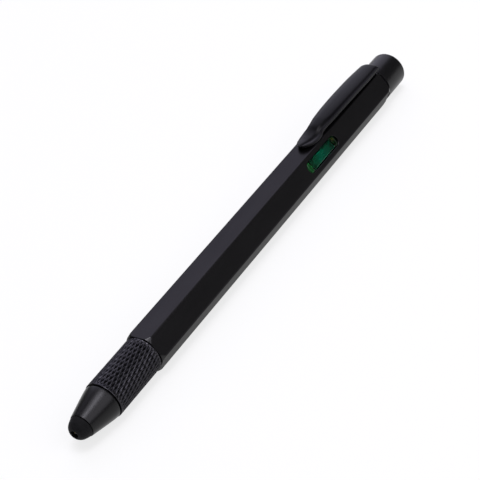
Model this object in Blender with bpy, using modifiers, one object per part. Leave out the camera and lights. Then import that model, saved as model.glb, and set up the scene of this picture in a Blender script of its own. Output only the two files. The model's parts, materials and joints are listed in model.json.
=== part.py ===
# Multi tool pen: a hexagonal twist ballpoint with a stylus nose, a knurled grip, a spirit level,
# a pocket clip and a two-ended driver bit under its cap. Metres, +Z up.
# The pen lies along X on one flat of its barrel, with its nose at -X and its clip uppermost.
# Places along the pen are counted from the nose towards the cap.

import math

import bmesh
import bpy
from mathutils import Matrix, Vector

# Fits
RUNNING_FIT = 0.00006
SEAT_GAP = 0.00005
FACE_GAP = 0.00005
CUT_OVERRUN = 0.001

# Barrel
ACROSS_FLATS = 0.0095
BARREL_WALL = 0.00085
BARREL_EDGE_RADIUS = 0.00045
CHAMFER_DROP = 0.00044
CHAMFER_LENGTH = 0.00125

# Window in the flat beside the clip
WINDOW_LENGTH = 0.0144
WINDOW_WIDTH = 0.0030
CAM_TO_LEVEL = 0.01252
LEVEL_TO_SOCKET = 0.00455

# Rubber stylus tip
TIP_LENGTH = 0.0027
TIP_RADIUS = 0.00288
TIP_FACE_RADIUS = 0.00116
TIP_HOLE_RADIUS = 0.00095
TIP_LIP_LENGTH = 0.0018
TIP_NECK_RADIUS = 0.00205
TIP_NECK_LENGTH = 0.0013
TIP_BEAD_RADIUS = 0.0024
TIP_BEAD_LENGTH = 0.00085

# Along the tip from its face to the cone: share of the length, share of the growth in radius
TIP_SHAPE_SHARES = (
    (0.000, 0.00),
    (0.035, 0.14),
    (0.095, 0.28),
    (0.175, 0.42),
    (0.265, 0.55),
    (0.360, 0.645),
    (0.460, 0.73),
    (0.580, 0.80),
    (0.720, 0.875),
    (0.860, 0.94),
    (1.000, 1.00),
)

# Nose cone
CONE_LENGTH = 0.0078
CONE_FRONT_RADIUS = 0.00296
CONE_BACK_RADIUS = 0.0047
CONE_BULGE = 0.00005
CONE_EDGE = 0.00014
CONE_SPIGOT_RADIUS = 0.00314
CONE_SPIGOT_LENGTH = 0.0049
JOINT_GROOVE_WIDTH = 0.00032
JOINT_GROOVE_DEPTH = 0.0003
BUSH_RADIUS = 0.00235
BUSH_FIT = 0.000105

# Knurled grip
GRIP_LENGTH = 0.0148
GRIP_RADIUS = 0.00472
KNURL_DEPTH = 0.00027
KNURL_COUNT = 33
KNURL_ROWS = 9
KNURL_FRONT_BAND = 0.00035
KNURL_BACK_BAND = 0.00045
BAND_RECESS = 0.00004
GRIP_FRONT_EDGE = 0.0002
GRIP_SPIGOT_LENGTH = 0.0100
SPIGOT_WALL = 0.00029
THREAD_RUNOUT = 0.0011
TWIST_GAP = 0.0001

# Friction ring on the grip's spigot
O_RING_THICKNESS = 0.0006
O_RING_SINK = 0.0006
O_RING_GROOVE_WIDTH = 0.00075

# Cam sleeve, turned by the grip, and the fixed guide tube round it
CAM_WALL = 0.0006
CAM_BEHIND_GUIDE = 0.0018
CAM_RING_THICKNESS = 0.00055
CAM_RING_SINK = 0.0003
CAM_RING_WIDTH = 0.00105
CAM_RING_OPENING = math.radians(70)
GUIDE_LENGTH = 0.0150
GUIDE_OVERHANG = 0.0046
TWIST_ANGLE = math.pi
REFILL_TRAVEL = 0.0042
PIN_RADIUS = 0.0005
PIN_SLOT_FIT = 0.00012
PIN_LENGTH = 0.0027
PIN_TOP_GAP = 0.00015

# Refill
REFILL_LENGTH = 0.0670
REFILL_RADIUS = 0.001175
REFILL_WALL = 0.00024
REFILL_SETBACK = 0.0004
BALL_RADIUS = 0.00035
BALL_SEAT_GAP = 0.00002
BALL_SHOWING = 0.00022
POINT_RIM_RADIUS = 0.00045
POINT_NECK_RADIUS = 0.00062
POINT_CONE_LENGTH = 0.0014
POINT_NECK_LENGTH = 0.0036
POINT_LENGTH = 0.0090
POINT_SPIGOT_LENGTH = 0.0020
HOLDER_FIT = 0.0001
HOLDER_LENGTH = 0.0140
HOLDER_GRIP_LENGTH = 0.0062
HOLDER_TAPER = 0.0010
PIN_BEHIND_REFILL = 0.0043

# Spirit level
VIAL_FIT = 0.00005
VIAL_WALL = 0.00032
VIAL_DEPTH = 0.00025
VIAL_PLUG_SPIGOT = 0.0008
BUBBLE_RADIUS = 0.0004
BUBBLE_LENGTH = 0.0042
BUBBLE_CHANNEL_FIT = 0.00012
BUBBLE_ROOF = 0.00005
SADDLE_MARGIN = 0.0020
SADDLE_FIT = 0.00008

# Threaded end, bit socket and driver bit
COLLAR_DEPTH = 0.0048
COLLAR_REACH = 0.0036
COLLAR_STEP = 0.0001
COLLAR_BORE_FIT = 0.00014
COLLAR_EDGE = 0.00028
SOCKET_FLOOR = 0.0014
BIT_ACROSS_FLATS = 0.0040
BIT_LENGTH = 0.0270
BIT_HEX_LENGTH = 0.0160
BIT_NECK_RADIUS = 0.0015
BIT_TIP_LENGTH = 0.0030
BIT_POINT_RADIUS = 0.0006
BIT_FLUTE_ROOT_RADIUS = 0.00022
BLADE_THICKNESS = 0.0005
BIT_FIT = 0.00006
BIT_END_CLEARANCE = 0.0003
BIT_FLOOR_GAP = 0.00025

# Cap
CAP_LENGTH = 0.0091
CAP_WALL = 0.00088
CAP_END_RADIUS = 0.0006
CAP_END_WALL = 0.0011
CAP_RIM_EDGE = 0.0001

# Clip: a ring clamped between barrel and cap, and a sprung arm
CLIP_RING_THICKNESS = 0.0005
CLIP_RING_INSET = 0.00015
CLIP_NECK_HALF_WIDTH = 0.0019
CLIP_SHEET = 0.0005
CLIP_LENGTH = 0.0381
CLIP_OVERHANG = 0.00055
CLIP_RISE = 0.00208
CLIP_HALF_WIDTH = 0.0029
CLIP_ARCH = 0.00046
CLIP_BEND_GAP = 0.0001

# Along the arm from its foot to its head: share of the length, then shares of the rise over the
# contact point, of the half width and of the arch
CLIP_SHAPE_SHARES = (
    (0.000, 0.532, 0.100, 0.05),
    (0.006, 0.505, 0.270, 0.15),
    (0.016, 0.459, 0.430, 0.30),
    (0.042, 0.284, 0.670, 0.50),
    (0.065, 0.138, 0.770, 0.60),
    (0.090, 0.028, 0.850, 0.65),
    (0.124, 0.000, 0.910, 0.65),
    (0.155, 0.055, 0.910, 0.65),
    (0.172, 0.165, 0.880, 0.65),
    (0.189, 0.367, 0.830, 0.70),
    (0.206, 0.578, 0.800, 0.80),
    (0.228, 0.743, 0.810, 0.90),
    (0.307, 0.908, 0.900, 1.00),
    (0.438, 1.000, 0.965, 1.00),
    (0.570, 0.982, 0.995, 1.00),
    (0.779, 0.817, 1.000, 1.00),
    (0.900, 0.670, 0.945, 1.00),
    (0.976, 0.569, 0.880, 1.00),
    (0.992, 0.495, 0.860, 1.00),
    (1.000, 0.394, 0.850, 1.00),
)

# Steps round turned pieces
OUTER_STEPS = 48
INNER_STEPS = 32
SMALL_STEPS = 20
MERGE_DISTANCE = 0.000001
SHARP_ANGLE = math.radians(32)

# Places along the pen, from the nose up to the twist mechanism
CONE_START = TIP_LENGTH
CONE_END = CONE_START + CONE_LENGTH
GRIP_START = CONE_END + JOINT_GROOVE_WIDTH
GRIP_END = GRIP_START + GRIP_LENGTH
BARREL_START = GRIP_END + TWIST_GAP
REFILL_START = REFILL_SETBACK
REFILL_END = REFILL_START + REFILL_LENGTH
PIN_PLACE = REFILL_END + PIN_BEHIND_REFILL
GUIDE_START = PIN_PLACE - REFILL_TRAVEL - PIN_RADIUS - GUIDE_OVERHANG
GUIDE_END = GUIDE_START + GUIDE_LENGTH
GRIP_THREAD_DEPTH = CONE_SPIGOT_LENGTH + THREAD_RUNOUT
CAM_START = GRIP_START + GRIP_THREAD_DEPTH + FACE_GAP
CAM_END = GUIDE_END + CAM_BEHIND_GUIDE

# Places along the pen behind the mechanism: the level, then the bit, which reaches up into the cap
WINDOW_START = CAM_END + CAM_TO_LEVEL + SADDLE_MARGIN
WINDOW_END = WINDOW_START + WINDOW_LENGTH
WINDOW_MIDDLE = (WINDOW_START + WINDOW_END) / 2
BIT_REACH = CLIP_RING_THICKNESS + 2 * FACE_GAP + CAP_LENGTH - CAP_END_WALL - BIT_END_CLEARANCE
BIT_DEPTH = BIT_LENGTH - BIT_REACH
SOCKET_DEPTH = BIT_DEPTH + BIT_FLOOR_GAP + SOCKET_FLOOR
SOCKET_LENGTH = SOCKET_DEPTH - COLLAR_DEPTH - FACE_GAP
SOCKET_START = WINDOW_END + SADDLE_MARGIN + LEVEL_TO_SOCKET
BARREL_END = SOCKET_START + SOCKET_DEPTH
BARREL_LENGTH = BARREL_END - BARREL_START
COLLAR_START = BARREL_END - COLLAR_DEPTH
BIT_START = BARREL_END - BIT_DEPTH
CLIP_RING_START = BARREL_END + FACE_GAP
CLIP_RING_END = CLIP_RING_START + CLIP_RING_THICKNESS
CAP_START = CLIP_RING_END + FACE_GAP
CAP_END = CAP_START + CAP_LENGTH

# Heights and radii that follow
FLAT_RADIUS = ACROSS_FLATS / 2
CORNER_RADIUS = FLAT_RADIUS / math.cos(math.pi / 6)
CHAMFER_FACE_RADIUS = CORNER_RADIUS - CHAMFER_DROP
BARREL_BORE_RADIUS = FLAT_RADIUS - BARREL_WALL
INSERT_RADIUS = BARREL_BORE_RADIUS - SEAT_GAP
SPIGOT_RADIUS = BARREL_BORE_RADIUS - RUNNING_FIT
JOINT_GROOVE_RADIUS = CONE_BACK_RADIUS - JOINT_GROOVE_DEPTH
BUSH_BORE_RADIUS = REFILL_RADIUS + BUSH_FIT
CAM_RADIUS = SPIGOT_RADIUS - O_RING_SINK - SPIGOT_WALL - SEAT_GAP
HOLDER_RADIUS = CAM_RADIUS - CAM_WALL - HOLDER_FIT
WINDOW_TURN = math.pi / 3
VIAL_RADIUS = WINDOW_WIDTH / 2 - VIAL_FIT
VIAL_HEIGHT = FLAT_RADIUS - VIAL_DEPTH - VIAL_RADIUS
LIQUID_RADIUS = VIAL_RADIUS - VIAL_WALL - SEAT_GAP
BIT_CORNER_RADIUS = BIT_ACROSS_FLATS / 2 / math.cos(math.pi / 6)
COLLAR_RADIUS = BARREL_BORE_RADIUS - COLLAR_STEP
COLLAR_BORE_RADIUS = BIT_CORNER_RADIUS + COLLAR_BORE_FIT
CAP_RADIUS = COLLAR_RADIUS + RUNNING_FIT + CAP_WALL
CLIP_RING_RADIUS = CAP_RADIUS - CLIP_RING_INSET
HINGE_HEIGHT = FLAT_RADIUS + CLIP_SHEET + FACE_GAP


def clear_scene():
    for item in list(bpy.data.objects):
        bpy.data.objects.remove(item, do_unlink=True)


def new_collection(name):
    collection = bpy.data.collections.new(name)
    bpy.context.scene.collection.children.link(collection)
    return collection


clear_scene()
PEN = new_collection("multi_tool_pen")
CUTTERS = new_collection("cutters")


def material(name, colour, roughness, metallic):
    made = bpy.data.materials.new(name)
    made.use_nodes = True
    shader = made.node_tree.nodes["Principled BSDF"]
    shader.inputs["Base Color"].default_value = (*colour, 1.0)
    shader.inputs["Roughness"].default_value = roughness
    shader.inputs["Metallic"].default_value = metallic
    made.diffuse_color = (*colour, 1.0)
    return made


BLACK_METAL = material("black_anodised", (0.035, 0.035, 0.042), 0.42, 0.9)
BLACK_KNURL = material("black_knurl", (0.045, 0.045, 0.052), 0.38, 0.9)
BLACK_PAINT = material("black_painted_steel", (0.030, 0.030, 0.036), 0.32, 0.8)
BLACK_RUBBER = material("black_rubber", (0.018, 0.018, 0.020), 0.85, 0.0)
BLACK_PLASTIC = material("black_plastic", (0.022, 0.022, 0.024), 0.55, 0.0)
GREY_PLASTIC = material("grey_plastic", (0.30, 0.30, 0.31), 0.5, 0.0)
BRASS = material("brass", (0.62, 0.46, 0.20), 0.30, 1.0)
STEEL = material("steel", (0.56, 0.57, 0.58), 0.25, 1.0)
CLEAR_PLASTIC = material("clear_plastic", (0.70, 0.82, 0.66), 0.08, 0.0)
GREEN_LIQUID = material("green_liquid", (0.02, 0.34, 0.20), 0.10, 0.0)
AIR = material("bubble", (0.72, 0.86, 0.74), 0.05, 0.0)


# An empty whose local Z runs along the pen towards the cap and whose local X points up at the clip
def pen_axis_empty():
    empty = bpy.data.objects.new("pen_axis", None)
    empty.empty_display_size = ACROSS_FLATS
    empty.matrix_world = Matrix((
        (0, 0, 1, -CAP_END / 2),
        (0, -1, 0, 0),
        (1, 0, 0, FLAT_RADIUS),
        (0, 0, 0, 1),
    ))
    PEN.objects.link(empty)
    return empty


def child_empty(name, parent, height, along, turn=0.0):
    empty = bpy.data.objects.new(name, None)
    empty.empty_display_size = ACROSS_FLATS
    empty.parent = parent
    empty.location = (height, 0, along)
    empty.rotation_euler = (0, 0, turn)
    PEN.objects.link(empty)
    return empty


def add_piece(name, mesh, parent, along, look=None, collection=None):
    piece = bpy.data.objects.new(name, mesh)
    piece.parent = parent
    piece.location = (0, 0, along)
    (collection or PEN).objects.link(piece)
    if look:
        mesh.materials.append(look)
    if collection is CUTTERS:
        piece.hide_render = True
        piece.display_type = "WIRE"
    return piece


# A closed outline of (radius, length) points turned about the pen's axis. It runs from the far end of
# the outer side to the near end, and back along the bore.
def turned(name, outline, steps, parent, along, look=None, collection=None, closed=True):
    mesh = bpy.data.meshes.new(name)
    points = [(radius, 0, length) for radius, length in outline]
    edges = [(i, i + 1) for i in range(len(points) - 1)]
    if closed:
        edges.append((len(points) - 1, 0))
    mesh.from_pydata(points, edges, [])
    piece = add_piece(name, mesh, parent, along, look, collection)
    screw = piece.modifiers.new("turn", "SCREW")
    screw.axis = "Z"
    screw.angle = 2 * math.pi
    screw.steps = steps
    screw.render_steps = steps
    screw.use_merge_vertices = True
    screw.merge_threshold = MERGE_DISTANCE
    return piece


# A solid rod of (radius, length) points, with both ends on the axis
def rod(name, outline, steps, parent, along, look=None, collection=None):
    first = (0.0, outline[0][1])
    last = (0.0, outline[-1][1])
    return turned(name, [first, *outline, last], steps, parent, along, look, collection, closed=False)


def tube(name, outer, inner, length, steps, parent, along, look=None, collection=None):
    outline = [(outer, length), (outer, 0.0), (inner, 0.0), (inner, length)]
    return turned(name, outline, steps, parent, along, look, collection)


def cylinder_cutter(name, radius, start, end, steps, parent):
    return rod(name, [(radius, end), (radius, start)], steps, parent, 0.0, None, CUTTERS)


# A mesh from a filled 2D curve, its thickness from zero upwards
def flat_mesh(name, outlines, thickness):
    curve = bpy.data.curves.new(name, "CURVE")
    curve.dimensions = "2D"
    curve.fill_mode = "BOTH"
    curve.extrude = thickness / 2
    for outline in outlines:
        spline = curve.splines.new("POLY")
        spline.points.add(len(outline) - 1)
        for point, (x, y) in zip(spline.points, outline):
            point.co = (x, y, 0, 1)
        spline.use_cyclic_u = True
    source = bpy.data.objects.new(name + "_curve", curve)
    bpy.context.scene.collection.objects.link(source)
    bpy.context.view_layer.update()
    evaluated = source.evaluated_get(bpy.context.evaluated_depsgraph_get())
    mesh = bpy.data.meshes.new_from_object(evaluated)
    bpy.data.objects.remove(source, do_unlink=True)
    shape = bmesh.new()
    shape.from_mesh(mesh)
    bmesh.ops.remove_doubles(shape, verts=shape.verts, dist=MERGE_DISTANCE)
    bmesh.ops.translate(shape, verts=shape.verts, vec=(0, 0, thickness / 2))
    bmesh.ops.recalc_face_normals(shape, faces=shape.faces)
    shape.to_mesh(mesh)
    shape.free()
    mesh.name = name
    return mesh


def arc(radius, start, end, steps, centre=(0.0, 0.0)):
    turns = [start + (end - start) * i / steps for i in range(steps + 1)]
    return [(centre[0] + radius * math.cos(a), centre[1] + radius * math.sin(a)) for a in turns]


def hex_prism(name, flat_radius, length, edge_radius, parent, along, look=None, collection=None):
    shape = bmesh.new()
    corner = flat_radius / math.cos(math.pi / 6)
    bmesh.ops.create_cone(
        shape, cap_ends=True, segments=6, radius1=corner, radius2=corner, depth=length,
        matrix=Matrix.Translation((0, 0, length / 2)))
    if edge_radius:
        long_edges = [e for e in shape.edges if abs(e.verts[0].co.z - e.verts[1].co.z) > length / 2]
        bmesh.ops.bevel(
            shape, geom=long_edges, offset=edge_radius * math.tan(math.pi / 6), segments=3,
            profile=0.5, affect="EDGES")
    mesh = bpy.data.meshes.new(name)
    shape.to_mesh(mesh)
    shape.free()
    return add_piece(name, mesh, parent, along, look, collection)


def hull_cutter(name, points, parent, along):
    shape = bmesh.new()
    for point in points:
        shape.verts.new(point)
    bmesh.ops.convex_hull(shape, input=shape.verts)
    bmesh.ops.recalc_face_normals(shape, faces=shape.faces)
    mesh = bpy.data.meshes.new(name)
    shape.to_mesh(mesh)
    shape.free()
    return add_piece(name, mesh, parent, along, None, CUTTERS)


def combine(piece, cutter, operation="DIFFERENCE"):
    step = piece.modifiers.new(operation.lower(), "BOOLEAN")
    step.operation = operation
    step.solver = "EXACT"
    step.object = cutter


# Rings of points joined into one closed skin. Each ring is (length, radii), its radii spaced evenly
# round the axis, and split picks the diagonal that each quad is folded on.
def ring_skin(name, rings, split, parent, along, look):
    count = len(rings[0][1])
    shape = bmesh.new()
    rows = []
    for length, radii in rings:
        row = []
        for i, radius in enumerate(radii):
            turn = 2 * math.pi * i / count
            row.append(shape.verts.new((radius * math.cos(turn), radius * math.sin(turn), length)))
        rows.append(row)
    for r, row in enumerate(rows):
        after = rows[(r + 1) % len(rows)]
        for i in range(count):
            j = (i + 1) % count
            corners = (row[i], after[i], after[j], row[j])
            fold = split(r, i)
            if fold == 1:
                shape.faces.new((corners[0], corners[1], corners[2]))
                shape.faces.new((corners[0], corners[2], corners[3]))
            elif fold == 2:
                shape.faces.new((corners[0], corners[1], corners[3]))
                shape.faces.new((corners[1], corners[2], corners[3]))
            else:
                shape.faces.new(corners)
    bmesh.ops.recalc_face_normals(shape, faces=shape.faces)
    mesh = bpy.data.meshes.new(name)
    shape.to_mesh(mesh)
    shape.free()
    return add_piece(name, mesh, parent, along, look)


# A slot with round ends wrapped round the axis: from (turn, length) to (turn, length), as a solid that
# runs from an inner to an outer radius
def wrapped_slot(name, start, end, width, middle_radius, inner, outer, parent, along):
    run = Vector(((end[0] - start[0]) * middle_radius, end[1] - start[1]))
    ahead = run.normalized()
    aside = Vector((-ahead.y, ahead.x))
    half = width / 2
    end_steps = 5
    end_start = math.radians(12)
    middle_steps = max(2, round(abs(end[0] - start[0]) / math.radians(9)))
    places = []
    for i in range(end_steps):
        turn = end_start + (math.pi / 2 - end_start) * i / end_steps
        places.append((-half * math.cos(turn), half * math.sin(turn)))
    for i in range(middle_steps + 1):
        places.append((run.length * i / middle_steps, half))
    for i in reversed(range(end_steps)):
        turn = end_start + (math.pi / 2 - end_start) * i / end_steps
        places.append((run.length + half * math.cos(turn), half * math.sin(turn)))
    shape = bmesh.new()
    origin = Vector((start[0] * middle_radius, start[1]))
    sections = []
    for distance, spread in places:
        section = []
        for radius, side in ((inner, 1), (outer, 1), (outer, -1), (inner, -1)):
            flat = origin + ahead * distance + aside * spread * side
            turn = flat.x / middle_radius
            section.append(shape.verts.new((radius * math.cos(turn), radius * math.sin(turn), flat.y)))
        sections.append(section)
    for before, after in zip(sections, sections[1:]):
        for i in range(4):
            j = (i + 1) % 4
            shape.faces.new((before[i], before[j], after[j], after[i]))
    shape.faces.new(sections[0])
    shape.faces.new(list(reversed(sections[-1])))
    bmesh.ops.recalc_face_normals(shape, faces=shape.faces)
    mesh = bpy.data.meshes.new(name)
    shape.to_mesh(mesh)
    shape.free()
    return add_piece(name, mesh, parent, along, None, CUTTERS)


# The hexagonal barrel: bar stock with eased edges, both ends turned to a cone, bored through, with the
# level's window cut into the flat beside the clip
def make_barrel(axis):
    barrel = hex_prism(
        "barrel", FLAT_RADIUS, BARREL_LENGTH, BARREL_EDGE_RADIUS, axis, BARREL_START, BLACK_METAL)
    slope = (CORNER_RADIUS - CHAMFER_FACE_RADIUS) / CHAMFER_LENGTH
    wide = CHAMFER_FACE_RADIUS + slope * (CHAMFER_LENGTH + CUT_OVERRUN)
    shoulder = CHAMFER_LENGTH + CUT_OVERRUN
    envelope = rod("barrel_envelope", [
        (CHAMFER_FACE_RADIUS, BARREL_LENGTH),
        (wide, BARREL_LENGTH - shoulder),
        (wide, shoulder),
        (CHAMFER_FACE_RADIUS, 0.0),
    ], OUTER_STEPS * 2, axis, BARREL_START, None, CUTTERS)
    combine(barrel, envelope, "INTERSECT")
    bore = cylinder_cutter(
        "barrel_bore", BARREL_BORE_RADIUS, BARREL_START - CUT_OVERRUN, BARREL_END + CUT_OVERRUN,
        OUTER_STEPS, axis)
    combine(barrel, bore)
    combine(barrel, window_cutter(axis))


def window_cutter(axis):
    half = WINDOW_WIDTH / 2
    straight = WINDOW_LENGTH / 2 - half
    outline = arc(half, -math.pi / 2, math.pi / 2, 12, (straight, 0.0))
    outline += arc(half, math.pi / 2, 3 * math.pi / 2, 12, (-straight, 0.0))
    mesh = flat_mesh("window_cutter", [outline], FLAT_RADIUS)
    cutter = add_piece("window_cutter", mesh, window_frame(axis), 0.0, None, CUTTERS)
    cutter.location = (FLAT_RADIUS / 2, 0, 0)
    cutter.rotation_euler = (0, math.pi / 2, 0)
    return cutter


def window_frame(axis):
    known = bpy.data.objects.get("window_axis")
    return known or child_empty("window_axis", axis, 0.0, WINDOW_MIDDLE, WINDOW_TURN)


# The rubber tip: a dome with a hole for the refill, a neck and a bead that the cone holds
def make_stylus_tip(nose, along):
    dome_length = TIP_LENGTH - FACE_GAP
    growth = TIP_RADIUS - TIP_FACE_RADIUS
    dome = [
        (TIP_FACE_RADIUS + growth * radius_share, dome_length * length_share)
        for length_share, radius_share in reversed(TIP_SHAPE_SHARES)
    ]
    neck_end = dome_length + TIP_NECK_LENGTH
    bead_end = neck_end + TIP_BEAD_LENGTH
    outline = [(TIP_BEAD_RADIUS, bead_end), (TIP_BEAD_RADIUS, neck_end), (TIP_NECK_RADIUS, neck_end)]
    outline += [(TIP_NECK_RADIUS, dome_length), *dome]
    outline += [(TIP_HOLE_RADIUS, 0.0), (TIP_HOLE_RADIUS, TIP_LIP_LENGTH)]
    outline += [(BUSH_BORE_RADIUS, TIP_LIP_LENGTH), (BUSH_BORE_RADIUS, bead_end)]
    turned("stylus_tip", outline, OUTER_STEPS, nose, along, BLACK_RUBBER)
    return bead_end


# The nose cone: its throat and recess hold the rubber tip, its bore the bush, its spigot the grip
def make_nose_cone(nose, along, bead_end):
    neck_end = CONE_LENGTH + JOINT_GROOVE_WIDTH - FACE_GAP
    spigot_end = neck_end + CONE_SPIGOT_LENGTH
    recess_start = TIP_NECK_LENGTH - FACE_GAP * 2
    recess_end = bead_end - TIP_LENGTH + FACE_GAP
    recess_radius = TIP_BEAD_RADIUS + RUNNING_FIT
    throat = TIP_NECK_RADIUS + SEAT_GAP
    bore = BUSH_RADIUS + SEAT_GAP
    sides = [(CONE_BACK_RADIUS, CONE_LENGTH - CONE_EDGE)]
    for step in range(4, 0, -1):
        share = step / 5
        radius = CONE_FRONT_RADIUS + (CONE_BACK_RADIUS - CONE_FRONT_RADIUS) * share
        sides.append((radius + CONE_BULGE * 4 * share * (1 - share), CONE_LENGTH * share))
    turned("nose_cone", [
        (CONE_SPIGOT_RADIUS, spigot_end),
        (CONE_SPIGOT_RADIUS, neck_end),
        (JOINT_GROOVE_RADIUS, neck_end),
        (JOINT_GROOVE_RADIUS, CONE_LENGTH),
        (CONE_BACK_RADIUS - CONE_EDGE, CONE_LENGTH),
        *sides,
        (CONE_FRONT_RADIUS, CONE_EDGE / 2),
        (CONE_FRONT_RADIUS - CONE_EDGE / 2, 0.0),
        (throat, 0.0),
        (throat, recess_start),
        (recess_radius, recess_start),
        (recess_radius, recess_end),
        (bore, recess_end),
        (bore, spigot_end),
    ], OUTER_STEPS, nose, along, BLACK_METAL)
    return recess_end, spigot_end


def make_nose(nose):
    bead_end = make_stylus_tip(nose, -CONE_START)
    recess_end, spigot_end = make_nose_cone(nose, 0.0, bead_end)
    bush_start = recess_end + FACE_GAP
    tube("nose_bush", BUSH_RADIUS, BUSH_BORE_RADIUS, spigot_end - bush_start, INNER_STEPS, nose, bush_start,
         GREY_PLASTIC)


# The grip: diamond knurl between two plain bands, a spigot that turns in the barrel, and a bore that
# takes the cone at the front and the cam sleeve behind
def make_grip(grip, along):
    count = 2 * KNURL_COUNT
    crest = GRIP_RADIUS
    pit = GRIP_RADIUS - KNURL_DEPTH
    band = GRIP_RADIUS - BAND_RECESS
    knurl_start = KNURL_FRONT_BAND
    knurl_length = GRIP_LENGTH - KNURL_FRONT_BAND - KNURL_BACK_BAND
    spigot_end = GRIP_LENGTH + GRIP_SPIGOT_LENGTH
    groove_middle = GRIP_LENGTH + GRIP_SPIGOT_LENGTH / 2
    groove_radius = SPIGOT_RADIUS - O_RING_SINK
    half_groove = O_RING_GROOVE_WIDTH / 2
    front_bore = CONE_SPIGOT_RADIUS + SEAT_GAP
    back_bore = CAM_RADIUS + SEAT_GAP

    def plain(length, radius):
        return (length, [radius] * count)

    rings = [
        plain(GRIP_THREAD_DEPTH, front_bore),
        plain(0.0, front_bore),
        plain(0.0, band - GRIP_FRONT_EDGE),
        plain(GRIP_FRONT_EDGE, band),
    ]
    first_row = len(rings)
    rings.append(plain(knurl_start, pit))
    for row in range(1, KNURL_ROWS + 1):
        length = knurl_start + knurl_length * row / (KNURL_ROWS + 1)
        rings.append((length, [crest if (row + i) % 2 else pit for i in range(count)]))
    last_row = len(rings)
    rings += [
        plain(knurl_start + knurl_length, pit),
        plain(knurl_start + knurl_length + BAND_RECESS, band),
        plain(GRIP_LENGTH, band),
        plain(GRIP_LENGTH, SPIGOT_RADIUS),
        plain(groove_middle - half_groove, SPIGOT_RADIUS),
        plain(groove_middle - half_groove, groove_radius),
        plain(groove_middle + half_groove, groove_radius),
        plain(groove_middle + half_groove, SPIGOT_RADIUS),
        plain(spigot_end, SPIGOT_RADIUS),
        plain(spigot_end, back_bore),
        plain(GRIP_THREAD_DEPTH, back_bore),
    ]

    # Every quad of the knurl folds along the valley between its two pits
    def split(r, i):
        if r < first_row or r >= last_row:
            return 0
        pit_at_corner = (r - first_row + i) % 2 == 0
        return 1 if pit_at_corner else 2

    ring_skin("grip", rings, split, grip, along, BLACK_KNURL)
    ring_radius = O_RING_THICKNESS / 2
    ring_middle = groove_radius + SEAT_GAP + ring_radius
    section = arc(ring_radius, math.pi / 2, -3 * math.pi / 2, 8, (ring_middle, 0.0))[:-1]
    turned("grip_o_ring", section, INNER_STEPS, grip, along + groove_middle, BLACK_RUBBER)


# The cam sleeve: a long thin tube with a slot that climbs half a turn, and a groove for its ring
def make_cam(grip, along):
    length = CAM_END - CAM_START
    inner = CAM_RADIUS - CAM_WALL
    ring_start = GUIDE_END + FACE_GAP - CAM_START
    ring_end = ring_start + CAM_RING_THICKNESS + FACE_GAP * 2
    sunk = CAM_RADIUS - CAM_RING_SINK
    cam = turned("cam_sleeve", [
        (CAM_RADIUS, length),
        (CAM_RADIUS, ring_end),
        (sunk, ring_end),
        (sunk, ring_start),
        (CAM_RADIUS, ring_start),
        (CAM_RADIUS, 0.0),
        (inner, 0.0),
        (inner, length),
    ], INNER_STEPS, grip, along, BRASS)
    pin = PIN_PLACE - CAM_START
    slot = wrapped_slot(
        "cam_slot", (0.0, pin), (-TWIST_ANGLE, pin - REFILL_TRAVEL), 2 * (PIN_RADIUS + PIN_SLOT_FIT),
        CAM_RADIUS, inner / 2, CAM_RADIUS + CUT_OVERRUN / 2, grip, along)
    combine(cam, slot)
    ring_inner = sunk + SEAT_GAP
    ring_outer = ring_inner + CAM_RING_WIDTH
    half_opening = CAM_RING_OPENING / 2
    outline = arc(ring_outer, half_opening, 2 * math.pi - half_opening, 24)
    outline += arc(ring_inner, 2 * math.pi - half_opening, half_opening, 24)
    mesh = flat_mesh("cam_ring", [outline], CAM_RING_THICKNESS)
    ring = add_piece("cam_ring", mesh, grip, along + ring_start + FACE_GAP, STEEL)
    ring.rotation_euler = (0, 0, math.pi)


# The guide tube, pressed into the barrel: its straight slot keeps the pin from turning
def make_guide(axis):
    inner = CAM_RADIUS + RUNNING_FIT
    guide = tube(
        "guide_tube", INSERT_RADIUS, inner, GUIDE_LENGTH, INNER_STEPS, axis, GUIDE_START, BLACK_PLASTIC)
    slot = wrapped_slot(
        "guide_slot", (0.0, PIN_PLACE), (0.0, PIN_PLACE - REFILL_TRAVEL), 2 * (PIN_RADIUS + PIN_SLOT_FIT),
        BARREL_BORE_RADIUS, inner / 2, BARREL_BORE_RADIUS + CUT_OVERRUN, axis, 0.0)
    combine(guide, slot)


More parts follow.
